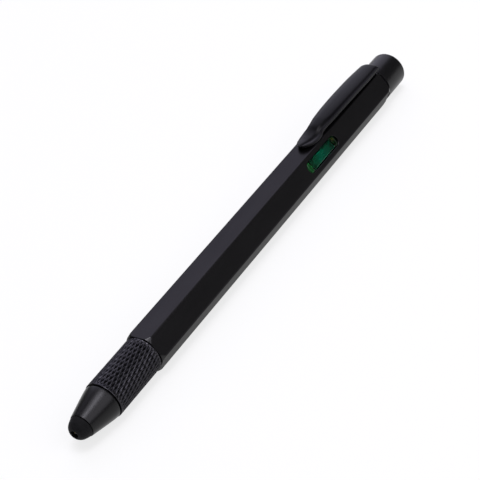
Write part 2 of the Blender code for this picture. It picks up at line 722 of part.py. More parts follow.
# The refill: a writing ball in its point, an open-ended tube, and the holder with its follower pin
def make_refill(refill):
    cup = BALL_RADIUS + BALL_SEAT_GAP
    cup_end = 2 * BALL_RADIUS + BALL_SEAT_GAP
    tube_bore = REFILL_RADIUS - REFILL_WALL
    spigot = tube_bore - SEAT_GAP / 2
    cone_end = BALL_SHOWING + POINT_CONE_LENGTH
    neck_end = cone_end + POINT_NECK_LENGTH
    point_end = POINT_LENGTH - FACE_GAP
    half_turn = [math.pi * i / 8 for i in range(1, 8)]
    ball = [(BALL_RADIUS * math.sin(t), BALL_RADIUS * (1 + math.cos(t))) for t in half_turn]
    turned(
        "refill_ball", [(0.0, 2 * BALL_RADIUS), *ball, (0.0, 0.0)], SMALL_STEPS, refill, 0.0, STEEL,
        closed=False)
    turned("refill_point", [
        (0.0, point_end + POINT_SPIGOT_LENGTH),
        (spigot, point_end + POINT_SPIGOT_LENGTH),
        (spigot, point_end),
        (REFILL_RADIUS, point_end),
        (POINT_NECK_RADIUS, neck_end),
        (POINT_NECK_RADIUS - SEAT_GAP / 2, cone_end),
        (POINT_RIM_RADIUS, BALL_SHOWING),
        (cup, BALL_SHOWING),
        (cup, cup_end),
        (0.0, cup_end),
    ], SMALL_STEPS, refill, 0.0, BRASS, closed=False)
    tube(
        "refill_tube", REFILL_RADIUS, tube_bore, REFILL_LENGTH - POINT_LENGTH, SMALL_STEPS, refill,
        POINT_LENGTH, STEEL)
    holder_start = REFILL_LENGTH - HOLDER_GRIP_LENGTH
    socket = REFILL_RADIUS + SEAT_GAP
    socket_end = HOLDER_GRIP_LENGTH + FACE_GAP
    holder = turned("refill_holder", [
        (0.0, HOLDER_LENGTH),
        (HOLDER_RADIUS - HOLDER_TAPER / 2, HOLDER_LENGTH),
        (HOLDER_RADIUS, HOLDER_LENGTH - HOLDER_TAPER),
        (HOLDER_RADIUS, HOLDER_TAPER),
        (HOLDER_RADIUS - HOLDER_TAPER / 2, 0.0),
        (socket, 0.0),
        (socket, socket_end),
        (0.0, socket_end),
    ], INNER_STEPS, refill, holder_start, GREY_PLASTIC, closed=False)
    pin_top = BARREL_BORE_RADIUS - PIN_TOP_GAP
    pin_foot = pin_top - PIN_LENGTH
    pin_place = PIN_PLACE - REFILL_START
    hole = cross_rod(
        "pin_hole", PIN_RADIUS + SEAT_GAP / 2, pin_foot - FACE_GAP, BARREL_BORE_RADIUS, refill, pin_place,
        None, CUTTERS)
    combine(holder, hole)
    cross_rod("follower_pin", PIN_RADIUS, pin_foot, pin_top, refill, pin_place, STEEL, None)


# A round rod that stands on the pen's axis and points at the clip
def cross_rod(name, radius, start, end, parent, along, look, collection):
    piece = rod(name, [(radius, end), (radius, start)], SMALL_STEPS, parent, along, look, collection)
    piece.rotation_euler = (0, math.pi / 2, 0)
    return piece


# The level: a saddle in the bore carries a clear tube with two domed plugs, filled with liquid that
# has a channel along its top for the bubble
def make_level(axis, bubble):
    window = window_frame(axis)
    vial = child_empty("vial_axis", window, VIAL_HEIGHT, 0.0)
    straight = WINDOW_LENGTH - 2 * (VIAL_RADIUS + SEAT_GAP)
    inner = VIAL_RADIUS - VIAL_WALL
    tube("vial_tube", VIAL_RADIUS, inner, straight, INNER_STEPS, vial, -straight / 2, CLEAR_PLASTIC)
    steps = 5
    dome = []
    for i in range(1, steps + 1):
        turn = math.pi / 2 * i / steps
        dome.append((VIAL_RADIUS * math.sin(turn), VIAL_RADIUS * math.cos(turn)))
    spigot = inner - SEAT_GAP / 2
    plug = [(0.0, VIAL_RADIUS), *dome, (spigot, 0.0), (spigot, -VIAL_PLUG_SPIGOT), (0.0, -VIAL_PLUG_SPIGOT)]
    plug_place = straight / 2 + FACE_GAP
    turned("vial_plug_upper", plug, SMALL_STEPS, vial, plug_place, CLEAR_PLASTIC, closed=False)
    lower = turned("vial_plug_lower", plug, SMALL_STEPS, vial, -plug_place, CLEAR_PLASTIC, closed=False)
    lower.rotation_euler = (math.pi, 0, 0)
    half_liquid = plug_place - VIAL_PLUG_SPIGOT - FACE_GAP
    liquid = rod(
        "vial_liquid", [(LIQUID_RADIUS, half_liquid), (LIQUID_RADIUS, -half_liquid)], INNER_STEPS, vial,
        0.0, GREEN_LIQUID)
    channel_radius = BUBBLE_RADIUS + BUBBLE_CHANNEL_FIT
    channel_half = half_liquid - BUBBLE_CHANNEL_FIT
    top = LIQUID_RADIUS - BUBBLE_ROOF - BUBBLE_RADIUS
    level_up = child_empty("level_up", vial, 0.0, 0.0, -WINDOW_TURN)
    outside = LIQUID_RADIUS + CUT_OVERRUN / 2
    section = arc(channel_radius, math.pi / 2, 3 * math.pi / 2, 10, (top, 0.0))
    section += [(outside, -channel_radius), (outside, channel_radius)]
    channel = hull_cutter("bubble_channel", [
        (x, y, z) for z in (-channel_half, channel_half) for x, y in section
    ], level_up, 0.0)
    combine(liquid, channel)
    half_bubble = BUBBLE_LENGTH / 2
    ends = [math.pi / 2 * i / 4 for i in range(1, 5)]
    upper = [(BUBBLE_RADIUS * math.sin(t), half_bubble - BUBBLE_RADIUS * (1 - math.cos(t))) for t in ends]
    outline = [(0.0, half_bubble), *upper]
    outline += [(r, -z) for r, z in reversed(upper)] + [(0.0, -half_bubble)]
    bubble.parent = level_up
    bubble.location = (top, 0, 0)
    turned("level_bubble", outline, SMALL_STEPS, bubble, 0.0, AIR, closed=False)
    make_saddle(axis, vial)
    return channel_half - half_bubble


def make_saddle(axis, vial):
    start = WINDOW_START - SADDLE_MARGIN
    length = WINDOW_LENGTH + 2 * SADDLE_MARGIN
    saddle = rod(
        "vial_saddle", [(INSERT_RADIUS, length), (INSERT_RADIUS, 0.0)], INNER_STEPS, axis, start,
        BLACK_PLASTIC)
    pocket_radius = VIAL_RADIUS + SADDLE_FIT
    pocket_half = WINDOW_LENGTH / 2 + SADDLE_FIT
    pocket = hull_cutter("vial_pocket", [
        (x, y, z)
        for z in (-pocket_half, pocket_half)
        for x, y in arc(pocket_radius, math.pi / 2, 3 * math.pi / 2, 12)
        + [(BARREL_BORE_RADIUS, pocket_radius), (BARREL_BORE_RADIUS, -pocket_radius)]
    ], vial, 0.0)
    combine(saddle, pocket)


# The driver bit, turned from hexagonal bar: a cross point at one end and a flat blade at the other
def make_bit(bit):
    flat = BIT_ACROSS_FLATS / 2
    driver = hex_prism("driver_bit", flat, BIT_LENGTH, 0.0, bit, 0.0, STEEL)
    corner = BIT_CORNER_RADIUS
    neck_length = (BIT_LENGTH - BIT_HEX_LENGTH) / 2
    shoulder = corner - BIT_NECK_RADIUS
    envelope = rod("bit_envelope", [
        (BIT_POINT_RADIUS, BIT_LENGTH),
        (BIT_NECK_RADIUS, BIT_LENGTH - BIT_TIP_LENGTH),
        (BIT_NECK_RADIUS, BIT_LENGTH - neck_length),
        (corner + shoulder, BIT_LENGTH - neck_length - 2 * shoulder),
        (corner + shoulder, neck_length + 2 * shoulder),
        (BIT_NECK_RADIUS, neck_length),
        (BIT_NECK_RADIUS, 0.0),
    ], SMALL_STEPS, bit, 0.0, None, CUTTERS)
    combine(driver, envelope, "INTERSECT")
    reach = BIT_NECK_RADIUS + CUT_OVERRUN
    for side in (1, -1):
        wedge = hull_cutter("blade_cutter_" + ("upper" if side > 0 else "lower"), [
            (side * x, y, z)
            for y in (-reach, reach)
            for x, z in (
                (BLADE_THICKNESS / 2, -CUT_OVERRUN),
                (BLADE_THICKNESS / 2, 0.0),
                (BIT_NECK_RADIUS, BIT_TIP_LENGTH),
                (reach, BIT_TIP_LENGTH),
                (reach, -CUT_OVERRUN),
            )
        ], bit, 0.0)
        combine(driver, wedge)
    for quarter in range(4):
        vee = hull_cutter("flute_cutter_%d" % quarter, [
            point
            for root, along in (
                (BIT_FLUTE_ROOT_RADIUS, BIT_LENGTH + CUT_OVERRUN / 2),
                (BIT_NECK_RADIUS, BIT_LENGTH - BIT_TIP_LENGTH),
            )
            for point in ((root, 0, along), (root + reach, reach, along), (root + reach, -reach, along))
        ], bit, 0.0)
        vee.rotation_euler = (0, 0, math.pi / 4 + math.pi / 2 * quarter)
        combine(driver, vee)


# The bit's socket and the threaded collar, both pressed into the barrel's end
def make_bit_end(axis):
    socket = rod("bit_socket", [(INSERT_RADIUS, SOCKET_LENGTH), (INSERT_RADIUS, 0.0)], INNER_STEPS, axis,
                 SOCKET_START, BRASS)
    hex_hole = hex_prism("socket_hex", BIT_ACROSS_FLATS / 2 + BIT_FIT, SOCKET_LENGTH, 0.0, axis,
                         SOCKET_START + SOCKET_FLOOR, None, CUTTERS)
    combine(socket, hex_hole)
    length = COLLAR_DEPTH + COLLAR_REACH
    turned("end_collar", [
        (COLLAR_RADIUS - COLLAR_EDGE, length),
        (COLLAR_RADIUS, length - COLLAR_EDGE),
        (COLLAR_RADIUS, COLLAR_DEPTH),
        (INSERT_RADIUS, COLLAR_DEPTH),
        (INSERT_RADIUS, 0.0),
        (COLLAR_BORE_RADIUS, 0.0),
        (COLLAR_BORE_RADIUS, length),
    ], INNER_STEPS, axis, COLLAR_START, BRASS)


def make_cap(cap):
    bore = COLLAR_RADIUS + RUNNING_FIT
    floor = CAP_LENGTH - CAP_END_WALL
    steps = 4
    rounding = []
    for i in range(steps + 1):
        turn = math.pi / 2 * i / steps
        rounding.append((
            CAP_RADIUS - CAP_END_RADIUS * (1 - math.sin(turn)),
            CAP_LENGTH - CAP_END_RADIUS * (1 - math.cos(turn)),
        ))
    outline = [(0.0, CAP_LENGTH), *rounding, (CAP_RADIUS, CAP_RIM_EDGE), (CAP_RADIUS - CAP_RIM_EDGE, 0.0)]
    outline += [(bore, 0.0), (bore, floor), (0.0, floor)]
    turned("cap", outline, OUTER_STEPS, cap, 0.0, BLACK_METAL, closed=False)


# Heights of the clip's arm over the barrel's flat: its edge at a place along it
def clip_edge(rise_share):
    contact = CLIP_SHEET + FACE_GAP
    return contact + (CLIP_RISE - contact) * rise_share


# The sprung arm: an arched strip from the head, over the flat, down to its contact and up at its foot
def make_clip_arm(hinge):
    across = 8
    shape = bmesh.new()
    sections = []
    for share, rise_share, width_share, arch_share in CLIP_SHAPE_SHARES:
        along = CLIP_OVERHANG + CLIP_RING_THICKNESS / 2 - CLIP_LENGTH * (1 - share)
        edge = FLAT_RADIUS + clip_edge(rise_share) - HINGE_HEIGHT
        half = CLIP_HALF_WIDTH * width_share
        arch = CLIP_ARCH * arch_share
        top = []
        under = []
        for i in range(across + 1):
            spread = 2 * i / across - 1
            height = edge + arch * (1 - spread * spread)
            top.append(shape.verts.new((height, half * spread, along)))
            under.append(shape.verts.new((height - CLIP_SHEET, half * spread, along)))
        sections.append(top + under[::-1])
    for before, after in zip(sections, sections[1:]):
        for i in range(len(before)):
            j = (i + 1) % len(before)
            shape.faces.new((before[i], before[j], after[j], after[i]))
    for section in (sections[0], sections[-1]):
        for i in range(across):
            last = len(section) - 1
            shape.faces.new((section[i], section[i + 1], section[last - i - 1], section[last - i]))
    bmesh.ops.recalc_face_normals(shape, faces=shape.faces)
    mesh = bpy.data.meshes.new("clip_arm")
    shape.to_mesh(mesh)
    shape.free()
    return add_piece("clip_arm", mesh, hinge, 0.0, BLACK_PAINT)


# The clip's root: a washer round the collar with a neck that rises under the arm's head
def make_clip_root(axis):
    hole = COLLAR_RADIUS + RUNNING_FIT
    half = CLIP_NECK_HALF_WIDTH
    neck_turn = math.asin(half / CLIP_RING_RADIUS)
    head_edge = FLAT_RADIUS + clip_edge(CLIP_SHAPE_SHARES[-2][1]) - CLIP_SHEET - CLIP_BEND_GAP
    head_half = CLIP_HALF_WIDTH * CLIP_SHAPE_SHARES[-2][2]
    steps = 6
    outer = arc(CLIP_RING_RADIUS, neck_turn, 2 * math.pi - neck_turn, 30)
    for i in range(steps + 1):
        y = half * (2 * i / steps - 1)
        height = head_edge + CLIP_ARCH * (1 - (y / head_half) ** 2)
        outer.append((height, y))
    inner = arc(hole, 2 * math.pi, 0.0, INNER_STEPS)[:-1]
    mesh = flat_mesh("clip_root", [outer, inner], CLIP_RING_THICKNESS)
    add_piece("clip_root", mesh, axis, CLIP_RING_START, BLACK_PAINT)


# Every piece becomes a plain mesh, smooth where it is round
def settle_meshes():
    bpy.context.view_layer.update()
    graph = bpy.context.evaluated_depsgraph_get()
    settled = {}
    for piece in PEN.objects:
        if piece.type == "MESH":
            settled[piece] = bpy.data.meshes.new_from_object(piece.evaluated_get(graph))
    for piece, mesh in settled.items():
        piece.modifiers.clear()
        piece.data = mesh
        mesh.name = piece.name
        mesh.shade_smooth()
        mesh.set_sharp_from_angle(angle=SHARP_ANGLE)


def main():
    axis = pen_axis_empty()
    grip = child_empty("grip_turn", axis, 0.0, GRIP_START)
    nose = child_empty("nose_slide", grip, 0.0, CONE_START - GRIP_START)
    refill = child_empty("refill_slide", axis, 0.0, REFILL_START)
    cap = child_empty("cap_slide", axis, 0.0, CAP_START)
    bit = child_empty("bit_slide", axis, 0.0, BIT_START)
    clip = child_empty("clip_hinge", axis, HINGE_HEIGHT, CLIP_RING_START + CLIP_RING_THICKNESS / 2)
    bubble = child_empty("bubble_slide", axis, 0.0, WINDOW_MIDDLE)
    make_barrel(axis)
    make_nose(nose)
    make_grip(grip, 0.0)
    make_cam(grip, CAM_START - GRIP_START)
    make_guide(axis)
    make_refill(refill)
    bubble_play = make_level(axis, bubble)
    make_bit_end(axis)
    make_bit(bit)
    make_cap(cap)
    make_clip_root(axis)
    make_clip_arm(clip)
    settle_meshes()
    print("bubble may move", round(bubble_play, 6), "either way")


main()
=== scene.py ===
import json
import math

import bmesh
import bpy
from mathutils import Matrix, Vector

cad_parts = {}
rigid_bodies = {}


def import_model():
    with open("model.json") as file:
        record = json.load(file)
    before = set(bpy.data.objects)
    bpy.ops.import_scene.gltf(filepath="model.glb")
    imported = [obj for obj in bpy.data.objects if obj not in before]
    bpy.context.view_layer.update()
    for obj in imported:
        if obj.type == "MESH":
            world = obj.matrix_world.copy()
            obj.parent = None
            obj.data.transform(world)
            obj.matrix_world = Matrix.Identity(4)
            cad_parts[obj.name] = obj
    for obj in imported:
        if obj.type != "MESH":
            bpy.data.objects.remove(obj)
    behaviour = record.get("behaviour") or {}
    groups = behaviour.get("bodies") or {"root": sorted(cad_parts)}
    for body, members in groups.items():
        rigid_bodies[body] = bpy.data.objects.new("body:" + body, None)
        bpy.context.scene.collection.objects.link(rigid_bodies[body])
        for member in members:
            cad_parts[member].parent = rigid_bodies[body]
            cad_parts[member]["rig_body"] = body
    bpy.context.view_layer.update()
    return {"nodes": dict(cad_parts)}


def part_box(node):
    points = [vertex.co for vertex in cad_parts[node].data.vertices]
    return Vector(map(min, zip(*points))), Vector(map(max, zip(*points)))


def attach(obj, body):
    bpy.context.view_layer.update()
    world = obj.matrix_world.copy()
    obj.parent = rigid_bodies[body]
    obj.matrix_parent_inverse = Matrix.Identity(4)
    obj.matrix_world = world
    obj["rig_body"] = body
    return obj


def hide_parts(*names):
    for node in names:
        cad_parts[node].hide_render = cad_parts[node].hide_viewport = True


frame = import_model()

mm = 0.001
almostNothing = 1e-9
nodes = frame["nodes"]

# The pen lies along X on one flat, and everything round is turned about this line
barrelLow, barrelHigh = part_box("barrel")
axisHeight = (barrelLow.z + barrelHigh.z) / 2
flatRadius = (barrelHigh.z - barrelLow.z) / 2
penAxis = Vector((0.0, 0.0, axisHeight))
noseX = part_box("stylus_tip")[0].x

# The level looks out of the flat beside the clip, on the -Y side
windowTurn = math.radians(30)
windowNormal = Vector((0.0, -math.cos(windowTurn), math.sin(windowTurn)))
windowAcross = Vector((0.0, math.sin(windowTurn), math.cos(windowTurn)))


# Meshes

def addObject(name, data):
    piece = bpy.data.objects.new(name, data)
    bpy.context.scene.collection.objects.link(piece)
    return piece


def smoothMesh(mesh, sharpDeg):
    mesh.shade_smooth()
    mesh.set_sharp_from_angle(angle=math.radians(sharpDeg))


def finishMesh(name, shape, sharpDeg=35.0):
    mesh = bpy.data.meshes.new(name)
    shape.to_mesh(mesh)
    shape.free()
    smoothMesh(mesh, sharpDeg)
    return addObject(name, mesh)


def softCorners(corners, steps):
    # Each corner is (along, radius), and how far back its rounding starts where it has one
    mostOfSide = 0.49
    points = []
    for i, (along, radius, *setback) in enumerate(corners):
        here = Vector((along, radius))
        if not setback:
            points.append(here)
            continue
        before = Vector(corners[i - 1][:2]) - here
        after = Vector(corners[(i + 1) % len(corners)][:2]) - here
        start = here + before.normalized() * min(setback[0], before.length * mostOfSide)
        end = here + after.normalized() * min(setback[0], after.length * mostOfSide)
        for s in range(steps + 1):
            t = s / steps
            points.append(start * (1 - t) ** 2 + here * 2 * t * (1 - t) + end * t * t)
    return points


def smoothShares(table, at):
    # A smooth curve through each column of the table over the first, level where it turns
    i = 0
    while i < len(table) - 2 and at > table[i + 1][0]:
        i += 1
    left, right = table[i], table[i + 1]
    width = right[0] - left[0]
    t = (at - left[0]) / width

    def rise(k, column):
        return (table[k + 1][column] - table[k][column]) / (table[k + 1][0] - table[k][0])

    def slope(k, column):
        if k in (0, len(table) - 1):
            return rise(i, column)
        before = rise(k - 1, column)
        after = rise(k, column)
        return 2 * before * after / (before + after) if before * after > 0 else 0.0

    near = 2 * t ** 3 - 3 * t ** 2 + 1
    leaving = (t ** 3 - 2 * t ** 2 + t) * width
    arriving = (t ** 3 - t ** 2) * width
    return [near * left[c] + (1 - near) * right[c] + leaving * slope(i, c) + arriving * slope(i + 1, c)
            for c in range(1, len(left))]


def shapedSide(v, x, shares):
    # Points along a side that grows from the front radius to the back one by the piece's own shares
    growth = v["backRadius"] - v["frontRadius"]
    return [(x + v["length"] * share, v["frontRadius"] + growth * smoothShares(v["shares"], share)[0])
            for share in shares]


def skinRings(shape, rings, capped=False):
    # Faces from each ring of vertices to the next, then back to the first or flat over both ends
    following = rings[1:] if capped else rings[1:] + rings[:1]
    for first, second in zip(rings, following):
        count = max(len(first), len(second))
        for i in range(count):
            j = (i + 1) % count
            corners = [ring[k % len(ring)] for ring, k in ((first, i), (first, j), (second, j), (second, i))]
            unique = list(dict.fromkeys(corners))
            if len(unique) > 2:
                shape.faces.new(unique)
    if capped:
        shape.faces.new(rings[0])
        shape.faces.new(rings[-1])
    bmesh.ops.recalc_face_normals(shape, faces=shape.faces)


def turnedPiece(name, corners, steps=96, centre=penAxis, cornerSteps=4, sharpDeg=35.0):
    # A profile turned about a line along X through centre, with a pole where it meets that line
    shape = bmesh.new()
    rings = []
    for along, radius in softCorners(corners, cornerSteps):
        count = 1 if radius < almostNothing else steps
        turns = [2 * math.pi * i / count for i in range(count)]
        rings.append([
            shape.verts.new((along, centre.y + radius * math.cos(turn), centre.z + radius * math.sin(turn)))
            for turn in turns])
    skinRings(shape, rings)
    return finishMesh(name, shape, sharpDeg)


def settle(piece, sharpDeg):
    # The modifiers' result becomes the piece's own plain mesh
    graph = bpy.context.evaluated_depsgraph_get()
    graph.update()
    mesh = bpy.data.meshes.new_from_object(piece.evaluated_get(graph))
    mesh.name = piece.name
    piece.modifiers.clear()
    piece.data = mesh
    smoothMesh(mesh, sharpDeg)
    return piece


def cutAway(piece, cutter, sharpDeg):
    step = piece.modifiers.new("cut", "BOOLEAN")
    step.operation = "DIFFERENCE"
    step.solver = "EXACT"
    step.object = cutter
    settle(piece, sharpDeg)
    bpy.data.objects.remove(cutter, do_unlink=True)
    return piece


def joinPieces(name, pieces):
    shape = bmesh.new()
    for piece in pieces:
        shape.from_mesh(piece.data)
        bpy.data.objects.remove(piece, do_unlink=True)
    return finishMesh(name, shape, sharpDeg=30.0)


innerSkin = {
    "mergeWithin": 0.002 * mm,
    "flatDeg": 0.5,
    "sharpDeg": 32.0,
}


def smoothCopy(node, name):
    # A CAD node's triangles merged into one smooth skin
    v = innerSkin
    shape = bmesh.new()
    shape.from_mesh(nodes[node].data)
    bmesh.ops.remove_doubles(shape, verts=shape.verts, dist=v["mergeWithin"])
    bmesh.ops.dissolve_limit(
        shape, angle_limit=math.radians(v["flatDeg"]), verts=shape.verts, edges=shape.edges)
    return finishMesh(name, shape, v["sharpDeg"])


def dress(piece, material, body, slot, *replaced):
    piece.data.materials.clear()
    piece.data.materials.append(material)
    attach(piece, body)
    if replaced:
        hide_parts(*replaced)
    return piece


# Nodes, for materials and for Geometry Nodes alike

def addNode(tree, kind, inputs=None, **settings):
    # Links or sets the inputs, and gives the node's outputs
    node = tree.nodes.new(kind)
    for key, value in settings.items():
        setattr(node, key, value)
    for key, value in (inputs or {}).items():
        if isinstance(value, bpy.types.NodeSocket):
            tree.links.new(value, node.inputs[key])
        else:
            node.inputs[key].default_value = value
    return node.outputs


def doMath(tree, operation, *values):
    return addNode(tree, "ShaderNodeMath", dict(enumerate(values)), operation=operation)[0]


# Materials

def startMaterial(name, v):
    made = bpy.data.materials.new(name)
    made.use_nodes = True
    made.diffuse_color = (*v["color"], 1.0)
    tree = made.node_tree
    shader = tree.nodes["Principled BSDF"]
    tint = v.get("edgeTint", 1.0)
    sockets = {
        "Base Color": (*v["color"], 1.0),
        "Roughness": v["rough"][0],
        "Metallic": v.get("metallic", 0.0),
        "Specular IOR Level": v.get("specular", 0.5),
        "Specular Tint": (tint, tint, tint, 1.0),
        **v.get("sockets", {}),
    }
    for label, value in sockets.items():
        shader.inputs[label].default_value = value
    return made, tree, shader, addNode(tree, "ShaderNodeTexCoord")["Object"]


def speckle(tree, place, grainSize, detail, stretch=(1.0, 1.0, 1.0)):
    # Noise whose grains are about grainSize across, longer where stretch is over 1
    scale = [1.0 / (grainSize * s) for s in stretch]
    spots = addNode(tree, "ShaderNodeMapping", {"Vector": place, "Scale": scale})
    return addNode(tree, "ShaderNodeTexNoise", {
        "Vector": spots["Vector"], "Scale": 1.0, "Detail": detail})["Fac"]


def spread(tree, factor, low=0.0, high=1.0, fromLow=0.3, fromHigh=0.7):
    return addNode(tree, "ShaderNodeMapRange", {
        "Value": factor, "From Min": fromLow, "From Max": fromHigh, "To Min": low, "To Max": high})["Result"]


def mixColors(tree, factor, first, second):
    sides = [tone if isinstance(tone, bpy.types.NodeSocket) else (*tone, 1.0) for tone in (first, second)]
    return addNode(tree, "ShaderNodeMix", {
        "Factor": factor, "A": sides[0], "B": sides[1]}, data_type="RGBA")["Result"]


def addBump(tree, shader, height, distance):
    # A bump lies on the one before it
    inputs = {"Height": height, "Distance": distance}
    if shader.inputs["Normal"].is_linked:
        inputs["Normal"] = shader.inputs["Normal"].links[0].from_socket
    tree.links.new(addNode(tree, "ShaderNodeBump", inputs)["Normal"], shader.inputs["Normal"])


wearAndSheen = {
    "samples": 6,
    "turnLow": 0.02,
    "turnHigh": 0.25,
}


def edgeWearAndSheen(tree, width):
    # 0 on open faces and 1 on outer edges, from how far a rounded normal turns from the true one
    rounded = addNode(tree, "ShaderNodeBevel", {"Radius": width}, samples=wearAndSheen["samples"])["Normal"]
    true = addNode(tree, "ShaderNodeNewGeometry")["Normal"]
    alike = addNode(tree, "ShaderNodeVectorMath", {0: rounded, 1: true}, operation="DOT_PRODUCT")["Value"]
    return spread(tree, doMath(tree, "SUBTRACT", 1.0, alike), 0.0, 1.0, wearAndSheen["turnLow"], wearAndSheen["turnHigh"])


def makeFinish(name, v):
    # One noise breaks up the gloss and another the colour. Noises that are alike are made once.
    made, tree, shader, place = startMaterial(name, v)
    noises = {}

    def noise(grains):
        if grains not in noises:
            noises[grains] = speckle(tree, place, *grains)
        return noises[grains]

    if v.get("second"):
        patch = noise(v["broad"])
        tone = mixColors(tree, spread(tree, patch), v["color"], v["second"])
        if v.get("wornAndSheen"):
            wornAndSheen = edgeWearAndSheen(tree, v["wornAndSheenWidth"])
            if "wornShare" in v:
                wornAndSheen = doMath(tree, "MULTIPLY", wornAndSheen, spread(tree, patch, *v["wornShare"]))
            # Edges take their own colour: rubbed wear, and on the clip's paint also a painted highlight
            tone = mixColors(tree, wornAndSheen, tone, v["wornAndSheen"])
        tree.links.new(tone, shader.inputs["Base Color"])
    tree.links.new(spread(tree, noise(v["fine"]), *v["rough"]), shader.inputs["Roughness"])
    for grains, height in v.get("bumps", ()):
        addBump(tree, shader, noise(grains), height)
    return made


# A noise is its grain size, its detail, and how much longer its grains are along X, Y and Z
grain = (0.07 * mm, 3.0)
toolMarks = (0.12 * mm, 1.0, (1.0, 60.0, 60.0))
turned = {
    "color": (0.0009, 0.0008, 0.0012),
    "second": (0.0016, 0.0014, 0.0021),
    "specular": 0.25,
    "rough": (0.28, 0.36),
    "fine": grain,
    "broad": (4.0 * mm, 2.0, (3.0, 1.0, 1.0)),
    "bumps": ((grain, 0.0022 * mm), (toolMarks, 0.0012 * mm)),
    "wornAndSheen": (0.012, 0.0115, 0.014),
    "wornAndSheenWidth": 0.12 * mm,
    "wornShare": (0.25, 0.8),
}
polished = dict(turned, specular=0.3, rough=(0.14, 0.2), wornAndSheen=None,
                bumps=((grain, 0.0006 * mm), (toolMarks, 0.0012 * mm)))
# The drawn barrel is bare anodised metal, whose gloss grows less towards a grazing look
drawn = dict(turned, color=(0.031, 0.03, 0.0315), second=(0.035, 0.034, 0.0355), wornAndSheen=(0.055, 0.054, 0.058),
             metallic=0.97, edgeTint=0.45, rough=(0.26, 0.32), bumps=((grain, 0.0022 * mm),))

paintGrain = (0.06 * mm, 2.0)
orangePeel = (0.35 * mm, 1.0)
paint = {
    "color": (0.0009, 0.0008, 0.0012),
    "second": (0.0016, 0.0014, 0.0021),
    "specular": 0.09,
    "rough": (0.26, 0.34),
    "fine": paintGrain,
    "broad": orangePeel,
    "bumps": ((orangePeel, 0.004 * mm), (paintGrain, 0.0015 * mm)),
    # Partly rubbed paint and partly a painted highlight: the clip's edges are lighter, like a bright line
    # along the sheet edge
    "wornAndSheen": (0.046, 0.045, 0.052),
    "wornAndSheenWidth": 0.17 * mm,
}

rubberGrain = (0.05 * mm, 3.0)
rubber = {
    "color": (0.0036, 0.0036, 0.0040),
    "second": (0.0058, 0.0058, 0.0064),
    "specular": 0.1,
    "rough": (0.62, 0.78),
    "fine": rubberGrain,
    "broad": (0.8 * mm, 3.0),
    "bumps": ((rubberGrain, 0.006 * mm),),
    "sockets": {"Sheen Weight": 0.03, "Sheen Roughness": 0.6},
}


def metal(color, darker, rough):
    # Fine marks run round the metal, stains lie over it, and its edges are rubbed brighter
    marks = (0.09 * mm, 2.0, (1.0, 40.0, 40.0))
    brighter = 1.25
    return {
        "color": color,
        "second": darker,
        "metallic": 1.0,
        "rough": rough,
        "fine": marks,
        "broad": (1.4 * mm, 3.0),
        "bumps": ((marks, 0.0016 * mm),),
        "wornAndSheen": [min(1.0, c * brighter) for c in color],
        "wornAndSheenWidth": 0.08 * mm,
    }


def plastic(color, lighter, rough, specular=0.5):
    texture = (0.12 * mm, 3.0)
    return {
        "color": color,
        "second": lighter,
        "specular": specular,
        "rough": rough,
        "fine": texture,
        "broad": (2.0 * mm, 2.0, (4.0, 1.0, 1.0)),
        "bumps": ((texture, 0.003 * mm),),
    }


# The level's clear tube, plugs and bubble
clear = {
    "color": (0.95, 1.0, 0.93),
    "specular": 0.12,
    "rough": (0.03, 0.1),
    "fine": (0.5 * mm, 3.0),
    "bumps": (((0.9 * mm, 1.0), 0.002 * mm),),
    "sockets": {"Transmission Weight": 1.0, "IOR": 1.1},
}
plugHaze = (0.4 * mm, 3.0)
nearPlug = {
    "color": (0.002, 0.065, 0.008),
    "second": (0.012, 0.088, 0.024),
    "specular": 0.03,
    "rough": (0.06, 0.16),
    "fine": plugHaze,
    "broad": plugHaze,
    "sockets": {"Transmission Weight": 0.35, "IOR": 1.45},
}
# The far plug is the near plug with painted shade: the same clear green, made much darker
shadedFarPlug = dict(nearPlug, color=(0.0004, 0.008, 0.001), second=(0.002, 0.016, 0.004))
film = (0.3 * mm, 2.0)
# The bubble is a pale green solid: a painted highlight where the light shows through the liquid
bubbleHighlight = {
    "color": (0.10, 0.42, 0.22),
    "specular": 0.3,
    "rough": (0.05, 0.14),
    "fine": film,
    "bumps": ((film, 0.002 * mm),),
}

finishes = {
    "anodisedBarrel": drawn,
    "anodisedTurned": turned,
    "anodisedChamfer": polished,
    "blackClipPaint": paint,
    "mattRubber": rubber,
    "brassTurned": metal((0.62, 0.43, 0.17), (0.46, 0.30, 0.11), (0.22, 0.36)),
    "steelTurned": metal((0.56, 0.57, 0.58), (0.40, 0.41, 0.42), (0.2, 0.34)),
    "ballSteelTurned": metal((0.10, 0.10, 0.105), (0.05, 0.05, 0.052), (0.4, 0.5)),
    "bitSteelTurned": metal((0.36, 0.36, 0.37), (0.2, 0.2, 0.21), (0.28, 0.42)),
    "blackPlastic": plastic((0.018, 0.018, 0.02), (0.03, 0.03, 0.032), (0.42, 0.6)),
    "greyPlastic": plastic((0.27, 0.27, 0.28), (0.34, 0.34, 0.35), (0.38, 0.5)),
    "markInk": plastic((0.001, 0.012, 0.006), (0.002, 0.02, 0.01), (0.45, 0.6), 0.05),
    "clearAcrylic": clear,
    "nearPlug": nearPlug,
    "shadedFarPlug": shadedFarPlug,
    "paintedBubbleHighlight": bubbleHighlight,
}

# Its color is that of the flanks
knurled = {
    "color": (0.0215, 0.021, 0.024),
    "pit": (0.004, 0.004, 0.005),
    "ridge": (0.036, 0.035, 0.039),
    "wornAndSheen": (0.062, 0.06, 0.066),
    "metallic": 1.0,
    "edgeTint": 0.62,
    "rough": (0.24, 0.5),
    "roughSpread": 0.03,
    "patch": (1.6 * mm, 3.0),
    "bump": 0.002 * mm,
    # Shares of the depth over its root, below which the spigot lies
    "flankShares": (0.1, 0.8),
    "ridgeShares": (0.8, 1.0),
    "spigotShares": (-0.5, -0.2),
}


